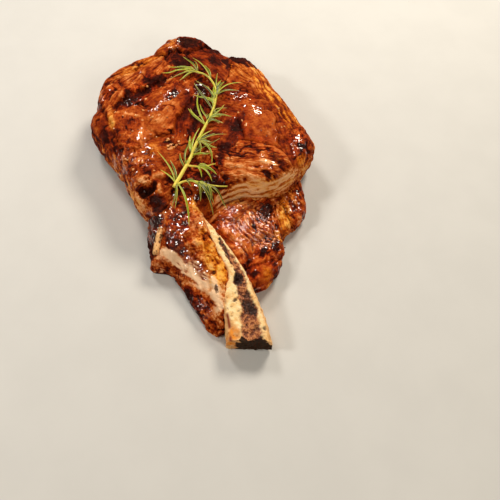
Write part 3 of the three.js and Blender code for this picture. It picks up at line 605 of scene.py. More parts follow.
def muscle_field(table, x, y, seed):
    """Muscles lying side by side. Each point belongs to the muscle whose turned ellipse it is
    nearest to, after noise has bent the plan a little. Returns the relief in millimetres (each
    muscle's rise, a bulge of 1 - nearest^2, and seams sunk where the two nearest are equally
    near), the tone, the seams, the fibres' own coordinates and strength, and the muscle's number."""
    rows = np.array(list(table.values()))
    sway_x, sway_y = (3.0 * noise(x, y, 0, 15, seed + k) for k in (0, 2))
    bend_x, bend_y = (1.2 * noise(x, y, 0, 4.5, seed + k) for k in (1, 3))
    distance = np.stack([reach(row, x + (sway_x + bend_x), y + (sway_y + bend_y)) for row in rows])
    nearest, second = np.partition(distance, 1, axis=0)[:2]
    owner = distance.argmin(0)
    wide = np.exp(-5 * distance**2)
    narrow = np.exp(-6 * (distance**2 - nearest**2))
    rise = np.tensordot(rows[:, 5], wide, 1) / (wide.sum(0) + 1e-6)
    tone = np.tensordot(rows[:, 6], narrow, 1) / narrow.sum(0)
    strength = 0.45 + 1.1 * noise(x, y, 0, 11, seed + 4)
    seam = (1 - step(0, 0.06, second - nearest)) * np.clip(strength, 0, 1)
    soft = 1 - step(0, 0.3, second - nearest)
    relief = rise + 1.2 * (1 - np.minimum(nearest**2, 1)) - 0.8 * soft - 1.3 * seam
    turn = np.radians(rows[owner, 4])
    dx, dy = x - rows[owner, 0] + sway_x, y - rows[owner, 1] + sway_y
    along = dx * np.cos(turn) + dy * np.sin(turn)
    across = dy * np.cos(turn) - dx * np.sin(turn)
    return relief, tone, seam, along, across, rows[owner, 7], owner


def grain_of(along, across, owner):
    """The coordinates that a muscle's grain is painted by: along and across its fibres, in metres,
    with each muscle in a place of its own."""
    return np.stack([along + FIBRE_SHIFT * owner, across, 3.0 * owner], axis=2) * MM


def fibres(along, across, owner):
    """Ridges along the muscle's fibres, between about -1 and 1: noise many times longer than it
    is wide."""
    shift = FIBRE_SHIFT * owner
    coarse = noise(along + shift, across * 5, shift, 9, 21)
    fine = noise(along + shift, across * 4, shift, 5, 22)
    return 0.65 * coarse + 0.35 * fine


def cracks(x, y, z, along, across, seed):
    """Thin lines where a noise that is longer along the fibres passes through zero, shown only
    where a wider noise is high: 1 in the crack and 0 beside it."""
    wander = noise(along / 2, across, z, 6, seed) + 0.25 * noise(x, y, z, 3, seed + 1)
    shown = step(-0.1, 0.3, noise(x, y, z, 12, seed + 2))
    return step(0.16, 0.03, np.abs(wander)) * shown


def slab_rings(outline, middle, edge, tall, grid):
    """Rings of an outline, which is given clockwise, drawn in to its middle: over the top, round
    the edge, which is half a superellipse as deep as `tall` and `edge` wide, and flat underneath.
    Returns the plan's x and y and each point's share of the height."""
    around, over, down = grid
    rim = evenly(spline(outline, True, OUTLINE_SPAN), around, True)[::-1]
    inner = 1 - edge / np.linalg.norm(rim - middle, axis=1)
    top = np.arange(1, over + 1)[:, None] / over
    base = np.arange(UNDERSIDE_RINGS, 0, -1)[:, None] / UNDERSIDE_RINGS
    angle = np.pi * np.arange(ARC_STEPS + 1) / ARC_STEPS
    out, up = bulged(np.sin(angle), EDGE_SQUARENESS), 0.5 + 0.5 * bulged(np.cos(angle), EDGE_SQUARENESS)
    profile = evenly(np.column_stack([edge * out, tall * up]), down + 1, False)[1:-1]
    out, up = profile[:, :1] / edge, profile[:, 1:] / tall
    share = np.vstack([inner * top, 1 - (1 - inner) * (1 - out), inner * base])
    height = np.vstack([np.ones_like(top), up, np.zeros_like(base)])
    x, y = (mix(middle[k], rim[:, k], share) for k in (0, 1))
    return x, y, np.broadcast_to(height, x.shape)


def lipped_pit(pit, x, y, ragged=0):
    """A pit with a lip, in millimetres: the lip is a bell curve of the distance from the middle of
    an ellipse, and the pit a smooth step down inside it."""
    ellipse, (lip, place, width), (depth, floor, brim) = pit
    away = reach(ellipse, x, y) + ragged
    return lip * np.exp(-(((away - place) / width) ** 2)) - depth * (1 - step(floor, brim, away))


def slickness(glaze):
    """How smooth the glaze makes the surface where its ridges stand high."""
    return step(0.12, 0.42, glaze)


def eye_top(x, y, sizes, relief):
    """The top of the eye: its thickness, a crown of 1 - m^2, the muscles' relief and a gentle
    unevenness, less the fall towards the rib and the pit in the knuckle."""
    middle = np.hypot((x - EYE_MIDDLE[0]) / EYE_CROWN[0], (y - EYE_MIDDLE[1]) / EYE_CROWN[1])
    crown = (1 - middle**2) * sizes.eye_crown / MM
    fall = 7 * step(-6, -40, y) * step(14, -14, x)
    calm = 1 - 0.8 * slickness(ridges(EYE_RIDGES, x, y))
    waves = 0.7 * calm * clouds(x, y, 0, 8, 61) + 1.3 * noise(x, y, 0, 24, 65)
    knuckle = lipped_pit(KNUCKLE_PIT, x, y, 0.15 * noise(x, y, 0, 5, 66))
    ring = lipped_pit(SMALL_RING, x, y)
    return sizes.eye_thickness / MM + crown + relief + waves + knuckle + ring - fall


def profile_run(rings):
    """How far each point is up the profile that it lies on, in millimetres along the surface,
    counted from the point halfway up the side."""
    lengths = np.linalg.norm(np.diff(rings, axis=0), axis=2)
    run = np.vstack([np.zeros(rings.shape[1]), np.cumsum(lengths, axis=0)])
    halfway = np.argmax(rings[..., 2] < 0.5 * rings[..., 2].max(0), axis=0)
    return run[halfway, np.arange(rings.shape[1])] - run


def rim_stripes(x, y, run, bearings, low, high, seed):
    """Layers of fat that run along the rim: noise that changes fast up the profile and slowly
    along the rim, between two bearings seen from the middle of the eye and two distances."""
    bearing = np.degrees(np.arctan2(y - EYE_MIDDLE[1], x - EYE_MIDDLE[0])) + 5 * noise(x, y, 0, 8, 72)
    first, last = bearings
    inside = step(first - 6, first + 6, bearing) * step(last + 6, last - 6, bearing)
    inside = inside * step(low - 2, low + 2, run) * step(high + 3, high - 3, run)
    layers = noise(x / 8, y / 8, run, 1.4, seed) + 0.5 * noise(x / 3, y / 3, run, 1.2, seed + 1)
    return inside, inside * np.clip(2.2 * layers, -1, 1)


def crust(x, y, z, rough, char, wet):
    """Browned crust: rounded crags from noise, deeper where the meat is rough, small holes, and
    beads of juice where it is wet."""
    crags = clouds(x, y, z, 4.2, 81, 2) * (1 - 0.35 * wet)
    swells = clouds(x, y, z, 9, 91, 2)
    holes = step(0.42, 0.75, noise(x, y, z, 2.3, 97))
    beads = np.maximum(noise(x, y, z, 3.4, 98) + 0.1, 0)
    relief = (0.22 + 0.6 * rough) * crags + 0.4 * rough * swells - (0.25 + 0.7 * rough) * holes
    return relief + 0.3 * char * crags + 0.55 * wet * beads


def make_eye(sizes, finish):
    """The eye as a slab of rings with its relief, fibres and crust. Its values say how burnt, fat and red
    the meat is at each point; its tone also holds painted shade in seams, cracks, hollows and the low side,
    and painted light on raised parts."""
    x, y, height = slab_rings(EYE_OUTLINE, EYE_MIDDLE, EYE_EDGE, sizes.eye_thickness / MM, EYE_GRID)
    relief, tone, seam, along, across, strength, owner = muscle_field(EYE_MUSCLES, x, y, 40)
    z = height * eye_top(x, y, sizes, relief)
    rings = np.stack([x, y, z], axis=2)
    run = profile_run(rings)
    near_inside, near = rim_stripes(x, y, run, *NEAR_STRIPES)
    near = near * mix(1.2, 0.8, step(6, 18, run))
    gold_inside, gold = rim_stripes(x, y, run, *GOLD_STRIPES)
    striped = np.maximum(near_inside, gold_inside)
    side = step(0.97, 0.72, height)
    top = 1 - 0.5 * side
    layers = noise(x / 4, y / 4, z, 3.2, 154)
    glazed = ridges(EYE_RIDGES, x, y)
    slick = slickness(glazed)
    # light: pale patches, partly painted light, kept out of the knuckle's pit
    light = patches(EYE_PALE_AND_PAINTED_LIGHT, x, y, z, 147) * (1 - step(1.15, 0.9, reach(KNUCKLE_PIT[0], x, y)))
    # char: burnt meat, and along the sprig painted shadow of the sprig
    char = patches(EYE_CHAR_AND_SPRIG_SHADOW, x, y, z, 101) * top * (1 - 0.5 * slick) * (1 - 0.7 * light)
    rough = np.maximum(patches(EYE_ROUGH, x, y, z, 111), side) * (1 - 0.8 * striped)
    lumps = patches(EYE_FAT, x, y, z, 131) * top
    side_fat = 0.5 * side * step(0, 0.6, layers)
    fat = np.max([lumps, 0.9 * step(0, 0.7, gold), 0.3 * near_inside, side_fat], axis=0)
    wet = np.maximum(0.8 * patches(EYE_WET, x, y, z, 145), np.minimum(2.2 * glazed, 1)) * top
    red = np.maximum(patches(EYE_RED, x, y, z, 141), 0.35 * side) * (1 - striped)
    fibrous = strength * (1 - side) * (1 - striped)
    fibre = fibres(along, across, owner) * fibrous
    grained = (1 - striped) * step(0.05, 0.35, strength)
    crack = cracks(x, y, z, along, across, 123) * (1 - 0.6 * side) * grained
    split = step(0.45, 0.8, noise(across * 3.2, along, 0, 3.2, 121))
    split = split * step(1.2, 0.8, reach(SPLIT_PLACE, x, y))
    relief = crust(x, y, z, rough, char, wet) * (1 - 0.8 * slick) * (1 - 0.5 * striped)
    relief += 0.3 * near + 0.35 * gold + glazed
    relief += sizes.fibre_depth / MM * fibre - 0.7 * crack - 0.7 * split
    tone = mix(mix(0.5, tone, 0.9), 1, 0.85 * near_inside) - 0.09
    tone += 0.13 * clouds(x, y, z, 14, 151) + (0.08 + 0.16 * rough) * clouds(x, y, z, 4.5, 152)
    # Seams, cracks and splits are darkened: painted shade in them.
    tone -= 0.40 * seam * (1 - near_inside) + 0.40 * crack + 0.6 * split
    # Tone rises with the relief: painted light on raised crust, beads and glaze ridges, painted shade in
    # hollows.
    tone += 0.14 * relief + 0.18 * fibre + 0.32 * near + gold_inside * (0.04 + 0.18 * gold)
    # The lower part of the side is darkened: painted shade near the floor.
    tone += side * (0.04 + 0.2 * (1 - striped) * layers) - 0.22 * step(0.45, 0.05, height)
    tone += 0.16 * lumps + 0.3 * light
    return make_surface(
        "steak_eye", raised(rings, relief, height), finish, "seared_meat", "meat", EYE_MIDDLE,
        tone=tone, char=char, fat=fat, red=red, rough=rough, wet=wet, fibrous=fibrous, slick=slick,
        membrane=0.4 * step(0.1, 0.9, near), grain=grain_of(along, across, owner),
    )


def make_flap(sizes, finish):
    """The flap as a lower slab of rings. Its top falls away from the bone, and folds of the
    browned skin are waves of the distance from a point near its edge."""
    x, y, height = slab_rings(FLAP_OUTLINE, FLAP_MIDDLE, FLAP_EDGE, sizes.flap_height / MM, FLAP_GRID)
    relief, tone, seam, along, across, strength, owner = muscle_field(FLAP_LUMPS, x, y, 50)
    fall = 8 * step(-20, 52, x - 0.35 * (y + 50))
    distance = np.hypot(x - FLAP_FOLDS[0], y - FLAP_FOLDS[1])
    distance = distance + 1.8 * noise(x, y, 0, 9, 63) + 0.5 * noise(x, y, 0, 3, 64)
    folded = step(1.5, 0.7, reach(FLAP_FOLDED, x, y))
    folds = np.sin(2 * np.pi * distance / FOLD_SPACING) * folded * (0.7 + 0.6 * noise(x, y, 0, 5, 67))
    uneven = 1 - step(1.3, 0.8, reach(FLAP_SMOOTH, x, y))
    glazed = 1.35 * ridges(FLAP_RIDGES, x, y)
    slick = slickness(glazed)
    z = height * (sizes.flap_height / MM - fall + relief + clouds(x, y, 0, 7, 62) + 0.55 * folds + glazed)
    side = step(0.97, 0.72, height)
    calm = mix(0.2, 1, uneven)
    char, fat = patches(FLAP_CHAR, x, y, z, 161), patches(FLAP_FAT, x, y, z, 171)
    rough = np.maximum(patches(FLAP_ROUGH, x, y, z, 181), 0.8 * side) * calm
    wet = np.maximum(patches(FLAP_WET, x, y, z, 185), np.minimum(2.5 * glazed, 1))
    wet = np.maximum(wet, 0.25 + 0.7 * folded)
    crags = crust(along / 3.6, across * 1.1, z + 9 * owner, rough, char, wet) * mix(0.3, 1, uneven)
    strands = noise(along / 5, across, 0, 2, 194) + 0.5 * noise(along / 4, across, 0, 1.2, 195)
    crack = cracks(x, y, z, along, across, 193) * uneven
    fibre = fibres(along, across, owner) * strength * (1 - side)
    crags = (crags * (1 - 0.4 * folded) + 0.65 * strands * uneven) * (1 - 0.8 * slick)
    crags += sizes.fibre_depth / MM * fibre - 0.6 * crack
    tone = mix(0.6, tone, 0.8) - 0.02 + 0.14 * clouds(x, y, z, 9, 191) + 0.18 * clouds(x, y, z, 3, 192)
    # Tone rises with the folds and crags, painted light on their crests and painted shade in the troughs;
    # seams and cracks are darkened as painted shade.
    tone += 0.12 * (folds + crags) + 0.18 * strands - 0.34 * seam - 0.32 * crack - 0.08 * side
    return make_surface(
        "steak_flap", raised(np.stack([x, y, z], axis=2), crags, height), finish, "seared_meat", "meat",
        FLAP_MIDDLE, tone=tone, char=char, fat=fat, red=0.6 - 0.5 * fat, rough=rough, wet=wet,
        fibrous=0.9 * uneven, slick=slick, grain=grain_of(along, across, owner),
    )


def make_strip(sizes, finish):
    """The strip: across each station a smooth line climbs from the bone's side over the ridge and
    the shoulder to the outer edge, and the underside is flat."""
    stations, span = STRIP_GRID
    y, outer, shoulder, shoulder_z, inner, ridge = through(STRIP_STATIONS, np.linspace(0, 1, stations)).T
    zero = np.zeros_like(y)
    sideways = [inner, inner, inner - 1, mix(inner, shoulder, 0.45)]
    sideways += [shoulder, mix(shoulder, outer, 0.8), outer, outer + 1.5]
    up = [zero, 0.55 * ridge, ridge - 1.5, ridge, shoulder_z, 0.62 * shoulder_z, 0.2 * shoulder_z, zero]
    section = spline(np.array([sideways, up]).T, False, span)
    x, z = section[..., 0], np.maximum(section[..., 1], 0)
    y = np.broadcast_to(y[:, None], x.shape)
    rings = np.stack([x, y, z], axis=2)
    low = step(14, 5, z)
    char, fat = patches(STRIP_CHAR, x, y, z, 201), patches(STRIP_FAT, x, y, z, 221)
    streaks = clouds((0.53 * x - 0.85 * y) / 8, 0.85 * x + 0.53 * y, z / 3, 1.8, 243, 2)
    membrane = np.clip(patches(STRIP_MEMBRANE, x, y, z, 211) * (0.8 + 0.95 * streaks), 0, 1)
    rough = np.clip(0.85 - 0.7 * membrane - 0.45 * fat, 0.1, 1)
    wet = np.maximum(patches(STRIP_WET, x, y, z, 235), 0.1)
    crack = cracks(x, y, z, y, x, 245)
    crags = crust(x, y, z, rough, char, wet) * (1 - 0.5 * membrane) + 0.6 * membrane * streaks - 0.6 * crack
    crags += sizes.fibre_depth / MM * (0.6 + membrane) * fibres(y, x, 0)
    crags -= ridges(STRIP_HOLLOWS, x, y)
    tone = 0.62 + 0.16 * clouds(x, y, z, 8, 241) + 0.18 * clouds(x, y, z, 3, 242) + 0.2 * streaks
    # Tone rises with the crags, painted light on raised crust; cracks are darkened, and the low part near
    # the floor too, as painted shade.
    tone += 0.14 * crags - 0.36 * low + 0.08 * fat + membrane * (0.4 + 0.8 * streaks) - 0.28 * crack
    return make_surface(
        "steak_strip", raised(rings, crags, np.minimum(z / 8, 1)), finish, "seared_meat", "meat",
        tone=tone, char=char, fat=fat, red=patches(STRIP_RED, x, y, z, 231), rough=rough,
        membrane=membrane, wet=wet * (1 - 0.6 * low), fibrous=0.4 * (1 - fat), slick=0.5 * membrane,
        grain=rings[..., [1, 0, 2]] * MM,
    )


# ---------- bones ----------


def squarish(squareness, aspect, count):
    """A superellipse, |x|^n + |y|^n = 1, as points that lie evenly along it when it is `aspect`
    times as wide as it is high."""
    angle = 2 * np.pi * np.arange(LOOP_STEPS) / LOOP_STEPS
    across, up = (bulged(v, squareness) for v in (np.cos(angle), np.sin(angle)))
    return evenly(np.column_stack([aspect * across, up]), count, True) / (aspect, 1)


def capped(rings, steps):
    """The rings with more of them added, drawn in to the middle of the last one, so that the flat
    end has points of its own."""
    last, share = rings[-1], np.arange(1, steps + 1)[:, None, None] / (steps + 1)
    return np.vstack([rings, mix(last[None], last.mean(0), share)])


def rib_rings():
    """The rib as squarish superellipse sections from the left edge of the sawn face to its right
    edge, a little wider at the foot. Also returns each point's share of the height, of the width,
    of the length, and of the way in over the sawn end."""
    sections, around, cap = RIB_GRID
    stations = through(RIB_STATIONS, np.linspace(0, 1, sections)).T
    left_x, left_y, right_x, right_y, top = (v[:, None] for v in stations)
    out, up = squarish(RIB_SQUARENESS, RIB_ASPECT, around).T
    up = 0.5 + 0.5 * up
    across = 0.5 + 0.5 * mix(RIB_FOOT, 1, up) * out
    x, y = mix(left_x, right_x, across), mix(left_y, right_y, across)
    rings = capped(np.stack([x, y, top * up], axis=2), cap)
    along = np.arange(len(rings))[:, None] / (sections - 1)
    inward = np.maximum(along - 1, 0) * (sections - 1) / (cap + 1)
    return rings, np.broadcast_to(up, rings.shape[:2]), across, np.minimum(along, 1), inward


def marrow_depth(x, y):
    """How deep a point is in the marrow: 1 on its line, 0 at its half width from it and less
    outside. The line's place and width at a point are read off by the point's y."""
    line = np.array(MARROW_LINE)[::-1]
    middle = np.interp(y, line[:, 1], line[:, 0])
    half = np.interp(y, line[:, 1], line[:, 2])
    ragged = 0.9 * noise(x, y, 0, 3.5, 251) + 0.5 * noise(x, y, 0, 1.4, 252)
    return 1 - (np.abs(x - middle) + ragged * np.minimum(half, 1.5)) / np.maximum(half, 0.2)


def make_rib(finish):
    """The sawn rib: spongy marrow sunk between two hard edges, with pits and a charred end."""
    rings, up, across, along, inward = rib_rings()
    x, y, z = np.moveaxis(rings, 2, 0)
    cut = np.where(along >= 1, 1.0, 0.0)
    face = step(0.90, 0.985, up) * (1 - cut)
    marrow = step(-0.12, 0.25, marrow_depth(x, y))
    ragged = 0.2 * noise(x, y, 0, 1.6, 261)
    pits = np.max([p[5] * (1 - step(0.4, 1.1, reach(p, x, y) + ragged)) for p in BONE_PITS], axis=0)
    sponge = step(-0.2, 0.6, noise(x, y, z, 1.6, 262)) + 0.5 * step(-0.1, 0.5, noise(x, y, z, 1, 263))
    edge = step(0.30, 0.02, across) + step(0.80, 0.98, across)
    relief = -face * (marrow * (0.45 + 0.55 * sponge) + pits * (0.55 + 0.25 * sponge))
    relief += 0.22 * clouds(x, y, z, 5, 264) + 0.12 * clouds(x, y, z, 1.6, 265) + 0.25 * face * edge
    relief += 0.3 * (1 - face) * clouds(x, y, z, 3, 266) + 0.9 * cut * clouds(x, y, z, 3.5, 270)
    left = step(0.25, 0.12, across) * step(0.5, 0.3, inward)
    right = step(0.86, 0.93, across) * step(0.3, 0.6, up) * step(0.2, 0.05, inward)
    scorch = along + 0.02 * noise(x, y, z, 4, 267) + 0.012 * noise(x, y, z, 1.6, 276)
    scorch = scorch - 0.03 * step(0.35, 0.1, across)
    burnt = np.maximum(step(0.982, 1, scorch), cut) * (1 - 0.9 * np.maximum(left, right))
    arris = np.exp(-(((across - 0.07) / 0.04) ** 2)) * step(0.62, 0.72, along)
    arris = arris * step(-0.4, 0.3, noise(x, y, z, 5, 277))
    speck = np.maximum(0.7 * step(0.5, 0.72, noise(x, y, z, 1.1, 269)), 1.5 * arris)
    orange = np.maximum(patches(BONE_ORANGE, x, y, z, 268), 0.55 * (1 - face))
    return make_surface(
        "bone_rib", raised(rings, relief, np.minimum(z / 6, 1)), finish, "bone", "rib_bone",
        marrow=marrow * face, hole=np.clip(pits / 1.6, 0, 1) * face, orange=orange, burnt=burnt,
        speck=speck, sponge=np.clip(sponge, 0, 1), dark=patches(MARROW_DARK, x, y, z, 275),
    )


def make_feather(finish):
    """The splinter: a bar between two ends, narrow at both, with ridges along it."""
    near, far = np.array(FEATHER_ENDS, float)
    steps, around = FEATHER_GRID
    t = np.linspace(0, 1, steps)[:, None]
    along = (far - near)[:2] / np.linalg.norm((far - near)[:2])
    half = FEATHER_WIDTH / 2 * (0.45 + 0.55 * np.sin(np.pi * mix(0.12, 0.88, t)) ** 0.6)
    angle = 2 * np.pi * np.arange(around) / around
    side = half * np.cos(angle) * (1 + 0.10 * noise(angle * 2, t * 9, 0, 1, 271))
    up = FEATHER_DEPTH / 2 * np.sin(angle) * (1 + 0.12 * noise(angle * 2, t * 7, 4, 1, 272))
    x = mix(near[0], far[0], t) - along[1] * side
    y = mix(near[1], far[1], t) + along[0] * side
    z = mix(near[2], far[2], t) - FEATHER_DEPTH / 2 + up + 0.35 * np.sin(7 * t + 2)
    rings = np.stack([x, y, z], axis=2)
    pocks = noise(x, y, z, 1.4, 274)
    relief = 0.3 * clouds(x, y, z, 2.2, 273) - 0.35 * step(0.35, 0.7, pocks)
    hole = step(0.1, 0.6, pocks)
    make_surface(
        "bone_feather", rings + outward(rings) * relief[..., None], finish, "bone", "feather_bone",
        marrow=0.25 * hole, hole=0.6 * hole, sponge=0.3 * hole, speck=0.9 * hole, dark=0.0,
        orange=0.55, burnt=0.35 * step(0.7, 1, np.abs(2 * t - 1)),
    )


# ---------- rosemary ----------


class HeightMap:
    """The highest point of the food in each small square of the plan and the squares around it."""

    def __init__(self, points, cell):
        self.cell, self.low = cell, points[:, :2].min(0) - 2 * cell
        place = ((points[:, :2] - self.low) / cell).astype(int)
        grid = np.zeros(place.max(0) + 4)
        np.maximum.at(grid, tuple(place.T), points[:, 2])
        around = (-1, 0, 1)
        self.grid = np.max([np.roll(grid, (i, j), (0, 1)) for i in around for j in around], axis=0)

    def __call__(self, x, y):
        i, j = (
            np.clip(((value - self.low[k]) / self.cell).astype(int), 0, self.grid.shape[k] - 1)
            for k, value in enumerate((x, y))
        )
        return self.grid[i, j]


def laid_line(plan, count, surface, clear):
    """A line on the plan laid over the food, `clear` above the highest point near each place."""
    line = evenly(spline(plan, False, PLAN_SPAN), count + 1, False)
    heights = surface(line[:, 0], line[:, 1])
    padded = np.pad(heights, 1, mode="edge")
    top = np.max([padded[:-2], padded[1:-1], padded[2:]], axis=0)
    return np.column_stack([line, top + clear])


def needle_lines(needles, stalks, surface):
    """Each needle leaves the nearest stalk, arches up and comes down to just above the food:
    a straight line on the plan with a bow of 4t(1 - t)."""
    feet, tips, bows = needles[:, :2], needles[:, 2:4], needles[:, 4]
    apart = np.linalg.norm(stalks[None, :, :2] - feet[:, None], axis=2)
    start = stalks[apart.argmin(1)]
    run = tips - start[:, :2]
    across = np.stack([-run[:, 1], run[:, 0]], axis=1) / np.linalg.norm(run, axis=1)[:, None]
    t = np.linspace(0, 1, NEEDLE_KNOTS)[None, :]
    bend = bows[:, None] * 4 * t * (1 - t)
    x, y = (mix(start[:, [k]], tips[:, [k]], t) + across[:, [k]] * bend for k in (0, 1))
    lift = start[:, 2:] + NEEDLE_ARCH * np.sin(np.pi * np.minimum(t * 1.1, 1)) * (1 - t * 0.5)
    floor = surface(x, y)
    z = np.maximum(mix(lift, floor + TIP_CLEARANCE, t**1.5), floor + NEEDLE_CLEARANCE)
    z[:, 0] = start[:, 2]
    return spline(np.stack([x, y, z], axis=2), False, NEEDLE_SPAN)


def swept(lines, side_half, up_half, section, roll):
    """Closed rods along many lines at once. A rod's section is a loop of (side, up) pairs, each
    times the rod's half width and half thickness there, turned about the line by `roll`."""
    along = np.gradient(lines, axis=1)
    along /= np.linalg.norm(along, axis=2, keepdims=True)
    side = np.stack([along[..., 1], -along[..., 0], np.zeros(along.shape[:2])], axis=2)
    side /= np.maximum(np.linalg.norm(side, axis=2, keepdims=True), 1e-6)
    up = np.cross(side, along)
    c, s = np.cos(roll)[:, None, None], np.sin(roll)[:, None, None]
    side, up = side * c + up * s, up * c - side * s
    across, rise = side_half[..., None] * section[:, 0], up_half[..., None] * section[:, 1]
    return lines[:, :, None] + side[:, :, None] * across[..., None] + up[:, :, None] * rise[..., None]


def many_closed(rods):
    """Points and faces of many closed rods of the same make, as one mesh."""
    count, rings, around = rods.shape[:3]
    starts, ends = rods[:, 0].mean(1), rods[:, -1].mean(1)
    points = np.concatenate([starts[:, None], rods.reshape(count, -1, 3), ends[:, None]], axis=1)
    first = points.shape[1] * np.arange(count)[:, None, None]
    faces = [(rod + first).reshape(-1, rod.shape[1]) for rod in ring_faces(rings, around)]
    return points.reshape(-1, 3), faces


def rod_length(t, around):
    """The share of its length at each point of a rod, its two end points among them."""
    return np.repeat(np.r_[0, t, 1], np.r_[1, np.full(len(t), around), 1])


def filler_needles(needles, rng):
    """Shorter needles beside the drawn ones: the same foot moved a little, with the line to the
    tip turned by up to 30 degrees and 0.4 to 0.7 as long."""
    foot = needles[:, :2] + rng.uniform(-0.8, 0.8, (len(needles), 2))
    run = needles[:, 2:4] - needles[:, :2]
    turn = np.radians(rng.uniform(12, 32, len(needles))) * rng.choice([-1, 1], len(needles))
    length = rng.uniform(0.4, 0.7, len(needles))
    c, s = length * np.cos(turn), length * np.sin(turn)
    tip = foot + np.stack([run[:, 0] * c - run[:, 1] * s, run[:, 0] * s + run[:, 1] * c], axis=1)
    return np.column_stack([foot, tip, 0.5 * needles[:, 4]])


def make_stalks(surface, finish):
    """The stem and its twigs as ridged rods that get thinner towards their tips. A twig starts at
    the nearest point of the stem. Returns the points that the stalks follow."""
    stem_clear, twig_clear = (radius + STALK_CLEARANCE for radius in STALK_RADII[:2])
    stem = laid_line(STEM_POINTS, STEM_STEPS, surface, stem_clear)
    twigs = [laid_line(twig, TWIG_STEPS, surface, twig_clear) for twig in TWIGS]
    for twig in twigs:
        twig[0] = stem[np.linalg.norm(stem[:, :2] - twig[0, :2], axis=1).argmin()]
    steps, around = STALK_GRID
    lines = [spline(line, False, STALK_SPAN) for line in [stem, *twigs]]
    stalks = np.array([evenly(line, steps, False) for line in lines])
    t = np.linspace(0, 1, steps)
    girths = np.array([
        radius * (1 - taper * t) * (1 + 0.10 * noise(t * 30, radius, 0, 1, 281))
        for radius, taper in zip(STALK_RADII, STALK_TAPERS)
    ])
    angle = 2 * np.pi * np.arange(around) / around
    ridged = np.column_stack([np.cos(angle), np.sin(angle)]) * (1 + 0.07 * np.cos(4 * angle))[:, None]
    points, faces = many_closed(swept(stalks, girths, girths, ridged, np.zeros(len(stalks))))
    values = {"along": np.tile(rod_length(t, around), len(stalks))}
    make_piece("rosemary_stalks", points, faces, values, finish, ["rosemary"])
    return np.vstack(stalks)


def make_needles(sizes, stalks, surface, finish):
    """Narrow needles with a groove on top and rolled edges below, each turned a little about its
    own line."""
    rng = np.random.default_rng(NEEDLE_SEED)
    drawn = np.array(NEEDLES)
    table = np.vstack([drawn, *(filler_needles(drawn, rng) for _ in range(NEEDLES_BESIDE))])
    lines = needle_lines(table, stalks, surface)
    count, steps = lines.shape[:2]
    section = np.array(NEEDLE_SECTION)
    t = np.linspace(0, 1, steps)
    near = mix(0.5, 1, step(0, NEEDLE_WIDEST, t))
    far = mix(1, 0.10, np.clip((t - NEEDLE_WIDEST) / (1 - NEEDLE_WIDEST), 0, 1) ** 2.2)
    taper = np.where(t < NEEDLE_WIDEST, near, far)
    wide = sizes.needle_width / 2 / MM * rng.uniform(0.75, 1.1, count)[:, None] * taper
    thick = np.tile(sizes.needle_thickness / 2 / MM * taper, (count, 1))
    needles = swept(lines, wide, thick, section, rng.uniform(-0.7, 0.7, count))
    points, faces = many_closed(needles)
    pale = np.clip(1.0 * (section[:, 1] < -0.2) + 0.75 * (np.abs(section[:, 0]) > 0.9), 0, 1)
    values = {
        "pale": np.tile(np.r_[0.5, np.tile(pale, steps), 0.5], count),
        "along": np.tile(rod_length(t, len(section)), count),
        "shade": np.repeat(rng.uniform(0, 1, count), len(points) // count),
    }
    make_piece("rosemary_needles", points, faces, values, finish, ["rosemary"])


# ---------- crumbs ----------


def lump(rings, around):
    """A small round lump as rings of a ball, without its end points."""
    polar = np.pi * np.arange(1, rings + 1)[:, None] / (rings + 1)
    angle = 2 * np.pi * np.arange(around)[None, :] / around
    x, y = np.sin(polar) * np.cos(angle), np.sin(polar) * np.sin(angle)
    return np.stack([x, y, np.broadcast_to(np.cos(polar), x.shape)], axis=2)


def make_crumbs(name, places, form, surface, finish, rng):
    """Crumbs scattered over round patches of the food: balls made uneven and turned at random,
    each sunk a little into what it lies on."""
    size, spread, flat = form
    spots = []
    for x, y, radius, count in places:
        turn, away = rng.uniform(0, 2 * np.pi, count), radius * np.sqrt(rng.uniform(0, 1, count))
        spots.append(np.column_stack([x + away * np.cos(turn), y + away * np.sin(turn)]))
    spots = np.vstack(spots)
    spots = spots[surface(*spots.T) > CRUMB_LOWEST]
    count = len(spots)
    ball = lump(*CRUMB_GRID)
    shape = ball * rng.uniform(0.72, 1.2, (count, *ball.shape[:2], 1))
    turn = rng.uniform(0, 2 * np.pi, count)[:, None, None]
    half = size * rng.uniform(1 - spread, 1 + spread, (count, 3)) * (1, 1, flat)
    x, y, z = np.moveaxis(shape * half[:, None, None], 3, 0)
    rods = np.stack([x * np.cos(turn) - y * np.sin(turn), x * np.sin(turn) + y * np.cos(turn), z], axis=3)
    rods += np.column_stack([spots, surface(*spots.T) - CRUMB_SUNK])[:, None, None]
    points, faces = many_closed(rods)
    values = {"shade": np.repeat(rng.uniform(0, 1, count), len(points) // count)}
    make_piece(name, points, faces, values, finish)


# ---------- finishes ----------


class Socket:
    """The output of a material's node. Arithmetic on it adds Math nodes."""

    def __init__(self, finish, output):
        self.finish, self.output = finish, output

    def math(self, operation, first, second, clamp=False):
        settings = {"operation": operation, "use_clamp": clamp}
        return self.finish.node("ShaderNodeMath", settings, {0: first, 1: second})

    def __add__(self, other):
        return self.math("ADD", self, other)

    def __sub__(self, other):
        return self.math("SUBTRACT", self, other)

    def __rsub__(self, other):
        return self.math("SUBTRACT", other, self)

    def __mul__(self, other):
        return self.math("MULTIPLY", self, other)

    __radd__, __rmul__ = __add__, __mul__

    def clamp(self):
        """The value held between 0 and 1."""
        return self.math("ADD", self, 0.0, clamp=True)


